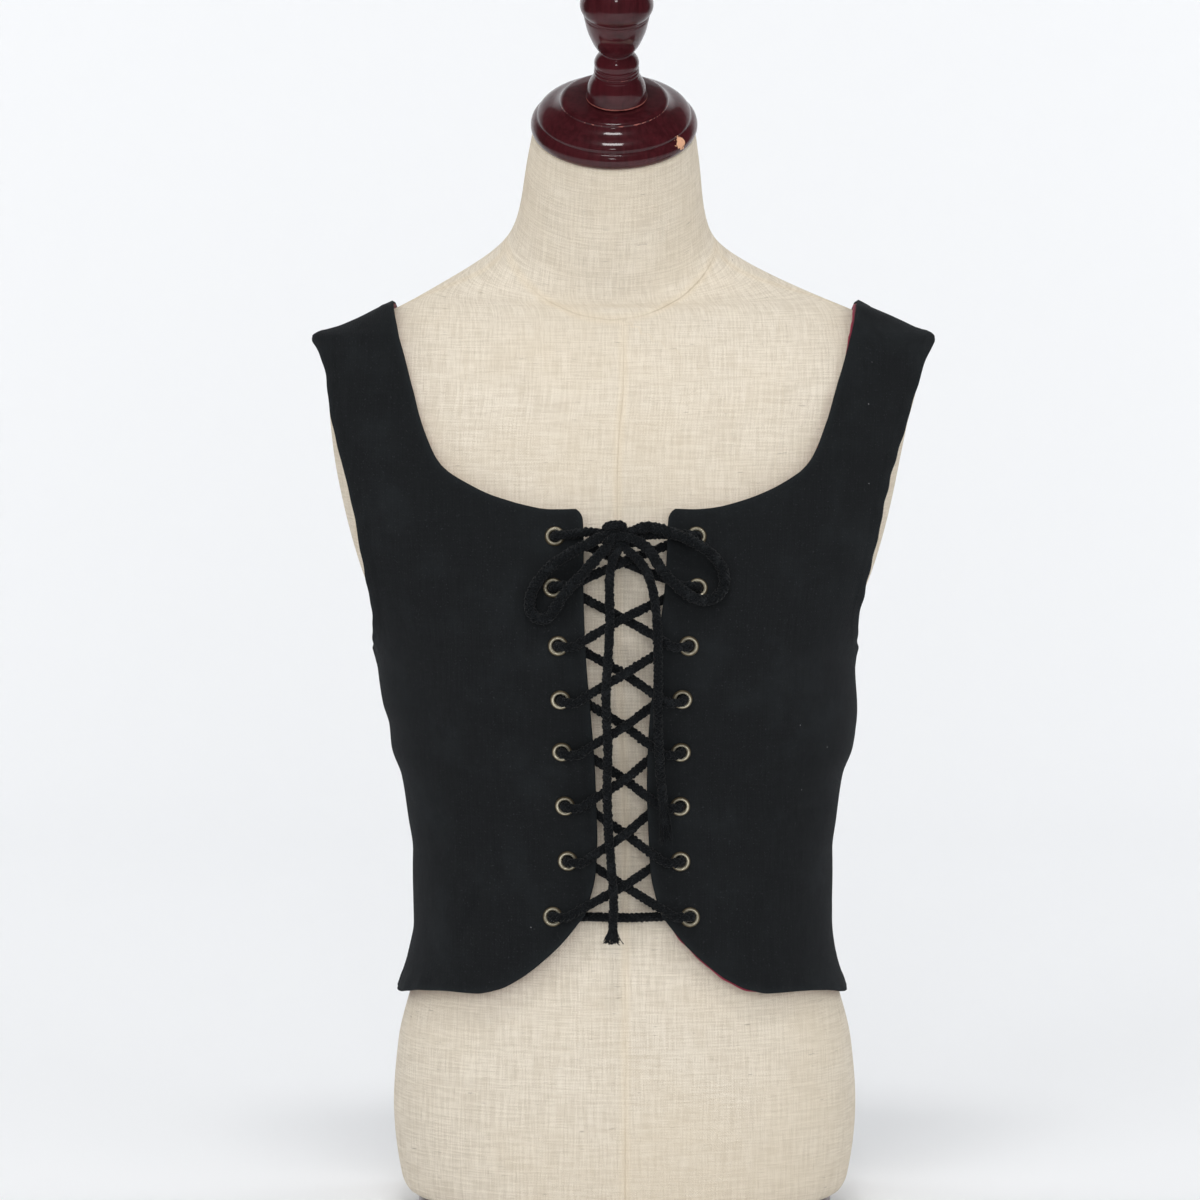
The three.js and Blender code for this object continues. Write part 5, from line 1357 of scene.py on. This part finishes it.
def make_dark_wood():
    """Dark red-brown varnished wood, with bare pale wood where a chip has come off, and rubbed edges painted
    pale as worn varnish and as painted highlights along the ridges.
    """
    material, tree, shader = new_material("dark_wood", (0.069, 0.014, 0.020))
    spot = own_place(tree)
    grain = noise(drawn_out(spot, 1.0, 1.0, 0.16), 330, 5, Distortion=0.6)
    base = blend(between(grain, 0.3, 0.7), (0.033, 0.0052, 0.0070), (0.052, 0.0088, 0.0118))
    base = blend(between(noise(spot, 30, 3), 0.45, 0.7, 0, 0.5), base, (0.078, 0.0095, 0.0140))
    away = read(tree, "ShaderNodeVectorMath", {0: spot, 1: tuple(chip_spot)}, 1, operation="DISTANCE")
    chip = noise(spot, 520, 3) * CHIP["jagged"] + away < CHIP["reach"]
    # The pale line on each ridge is partly worn varnish and partly a painted highlight.
    edge = own_value(tree, "ridge") + noise(spot, 210, 5, Roughness=0.7)
    rubbed = between(edge, 1.42, 1.48)
    bare = chip.or_more(rubbed * 0.8)
    base = blend(rubbed, base, (0.36, 0.12, 0.10))
    relief = bump(noise(spot, 160, 2) - chip * 3, 0.10, 0.0006)
    base = blend(chip, base, (0.66, 0.36, 0.22))
    set_up(shader, Base_Color=base, Roughness=between(bare, 0, 1, 0.34, 0.8), Specular_IOR_Level=0.1,
           Coat_Weight=between(bare, 0, 1, 0.75, 0), Coat_Roughness=0.07, Coat_IOR=1.45, Normal=relief)
    return material


dark_wood = make_dark_wood()


def turned_wood(name, profile, foot, axis, ridges):
    """A turned piece that stands on foot along axis. ridges are the radii and heights of its rubbed edges,
    each with how far it is rubbed; they are painted pale, as worn varnish and as painted highlights."""
    piece = turned(name, profile, TURNED_SIDES)
    spots = np.array([v.co for v in piece.data.vertices])
    radius = np.hypot(spots[:, 0], spots[:, 1])
    worn = [amount * np.exp(-(np.hypot(radius - r, spots[:, 2] - h) / RUBBED_WIDTH) ** 2)
            for r, h, amount in ridges]
    give_values(piece, "ridge", np.max(worn, axis=0))
    turn = Vector((0, 0, 1)).rotation_difference(axis).to_matrix().to_4x4()
    piece.data.transform(Matrix.Translation(foot) @ turn)
    piece.data.materials.append(dark_wood)
    return piece


def make_board(name):
    """The board: the form's lowest section, a little smaller, with rounded edges."""
    turn = -math.pi / 2 + np.arange(FORM_AROUND) / FORM_AROUND * 2 * math.pi
    skin = form_point(turn, np.full(FORM_AROUND, FORM_SECTIONS[0, 0]))
    middle = np.array([0, seam_plane, 0])
    rings = []
    for share in np.radians((0, 30, 60, 90)):
        rings.append((BOARD_INSET + BOARD_ROUND * (1 - math.sin(share)), BOARD_ROUND * (1 - math.cos(share))))
    rings = rings + [(inset, BOARD_HEIGHT - height) for inset, height in reversed(rings)]
    points = []
    for inset, height in rings:
        ring = skin - middle
        ring[:, 0] *= 1 - inset / FORM_SECTIONS[0, 1]
        ring[:, 1] *= 1 - inset / FORM_SECTIONS[0, 2]
        ring[:, 2] = height
        points.append(ring + middle * (1, 1, 0))
    number = np.arange(len(rings) * FORM_AROUND).reshape(len(rings), -1)
    faces = ring_faces(number) + [tuple(number[0][::-1]), tuple(number[-1])]
    piece = make_object(name, np.vstack(points), faces, (dark_wood,))
    give_values(piece, "ridge", np.zeros(number.size))
    return piece


RUBBED_WIDTH = 0.0011
# Rubbed ridges, painted pale as worn varnish and as painted highlights: radius, height, how far rubbed
CAP_RIDGES = ((0.0512, 0.0004, 1.03), (0.0344, 0.0217, 0.98))
FINIAL_RIDGES = ((0.0197, 0.0012, 1.25), (0.0142, 0.0188, 0.92))
cap = turned_wood("neck_cap", CAP_PROFILE, cap_foot, neck_axis, CAP_RIDGES)
finial = turned_wood("finial", FINIAL_PROFILE, finial_foot, neck_axis, FINIAL_RIDGES)
board = make_board("base_board")
for piece, node in ((cap, "form_neck_cap"), (finial, "form_finial"), (board, "form_board")):
    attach(piece, "root")
    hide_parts(node)

# The studio
# A white sweep of paper runs from the floor up behind the form. Large soft lights stand in front to the
# left and right, and the camera looks at the chest from four metres away through a long lens.
SWEEP = {"front": -3.2, "bend": 1.7, "radius": 1.0, "top": 4.2, "half_width": 4.5}
CAMERA_DISTANCE = 4.0
CAMERA_DROP = math.radians(6)
CAMERA_AIM = Vector((-0.016, seam_plane, 0.397))
CAMERA_LENS, CAMERA_SENSOR = 186, 36
# name, place, size across and up, power, what it looks at, and whether it is seen in glossy things
LIGHTS = (
    ("key", (-1.7, -2.9, 2.2), (1.8, 1.8), 22.5, (0, 0, 0.45), False),
    ("fill", (2.1, -2.6, 1.5), (1.6, 2.0), 14, (0, 0, 0.40), False),
    ("front", (0.1, -3.9, 1.2), (2.0, 1.2), 32, (0, 0, 0.40), False),
    ("top", (-0.05, -1.1, 2.6), (0.55, 0.45), 14, (0, 0, 0.50), True),
    ("glint", (-0.1, -3.0, 1.9), (0.34, 0.34), 6, (0, 0, 0.60), True),
    ("back_left", (-2.6, 0.9, 2.2), (1.2, 2.0), 28, (-0.4, 2.7, 0.8), False),
    ("back_right", (2.6, 0.9, 2.2), (1.2, 2.0), 28, (0.4, 2.7, 0.8), False),
)


def make_sweep():
    """The paper sweep: flat, curved up, then upright, and clear from behind for the views of the back."""
    side = [(SWEEP["front"], 0.0), (SWEEP["bend"], 0.0)]
    radius = SWEEP["radius"]
    for turn in np.linspace(0, math.pi / 2, 25)[1:]:
        side.append((SWEEP["bend"] + radius * math.sin(turn), radius * (1 - math.cos(turn))))
    side.append((side[-1][0], SWEEP["top"]))
    points = [(x, y, z) for y, z in side for x in (-SWEEP["half_width"], SWEEP["half_width"])]
    faces = [(2 * i, 2 * i + 1, 2 * i + 3, 2 * i + 2) for i in range(len(side) - 1)]
    material, tree, shader = new_material("white_paper", (0.9, 0.9, 0.9))
    set_up(shader, Base_Color=(0.90, 0.905, 0.915, 1), Roughness=0.95, Specular_IOR_Level=0.1)
    seen_from_behind = read(tree, "ShaderNodeNewGeometry", output="Backfacing")
    clear = read(tree, "ShaderNodeBsdfTransparent")
    surface = {0: seen_from_behind, 1: Reading(shader.outputs[0]), 2: clear}
    give(tree.nodes["Material Output"].inputs["Surface"], read(tree, "ShaderNodeMixShader", surface))
    return make_object("paper_sweep", points, faces, (material,))


make_sweep()
for name, place, (across, up), power, target, glossy in LIGHTS:
    lamp = bpy.data.lights.new(name, "AREA")
    lamp.shape, lamp.size, lamp.size_y, lamp.energy = "RECTANGLE", across, up, power
    light = bpy.data.objects.new(name, lamp)
    light.location = place
    light.visible_glossy = glossy
    light.rotation_euler = (Vector(target) - Vector(place)).to_track_quat("-Z", "Y").to_euler()
    bpy.context.scene.collection.objects.link(light)

world = bpy.data.worlds.new("studio")
world.use_nodes = True
world.node_tree.nodes["Background"].inputs[0].default_value = (0.95, 0.975, 1.0, 1)
world.node_tree.nodes["Background"].inputs[1].default_value = 0.4
bpy.context.scene.world = world
world.cycles_visibility.glossy = False
bpy.context.scene.view_settings.view_transform = "Standard"

camera_data = bpy.data.cameras.new("camera")
camera_data.sensor_width = CAMERA_SENSOR
camera_data.lens = CAMERA_LENS
camera = bpy.data.objects.new("camera", camera_data)
bpy.context.scene.collection.objects.link(camera)
camera.location = CAMERA_AIM + CAMERA_DISTANCE * Vector((0, -math.cos(CAMERA_DROP), math.sin(CAMERA_DROP)))
camera.rotation_euler = (math.pi / 2 - CAMERA_DROP, 0, 0)
bpy.context.scene.camera = camera
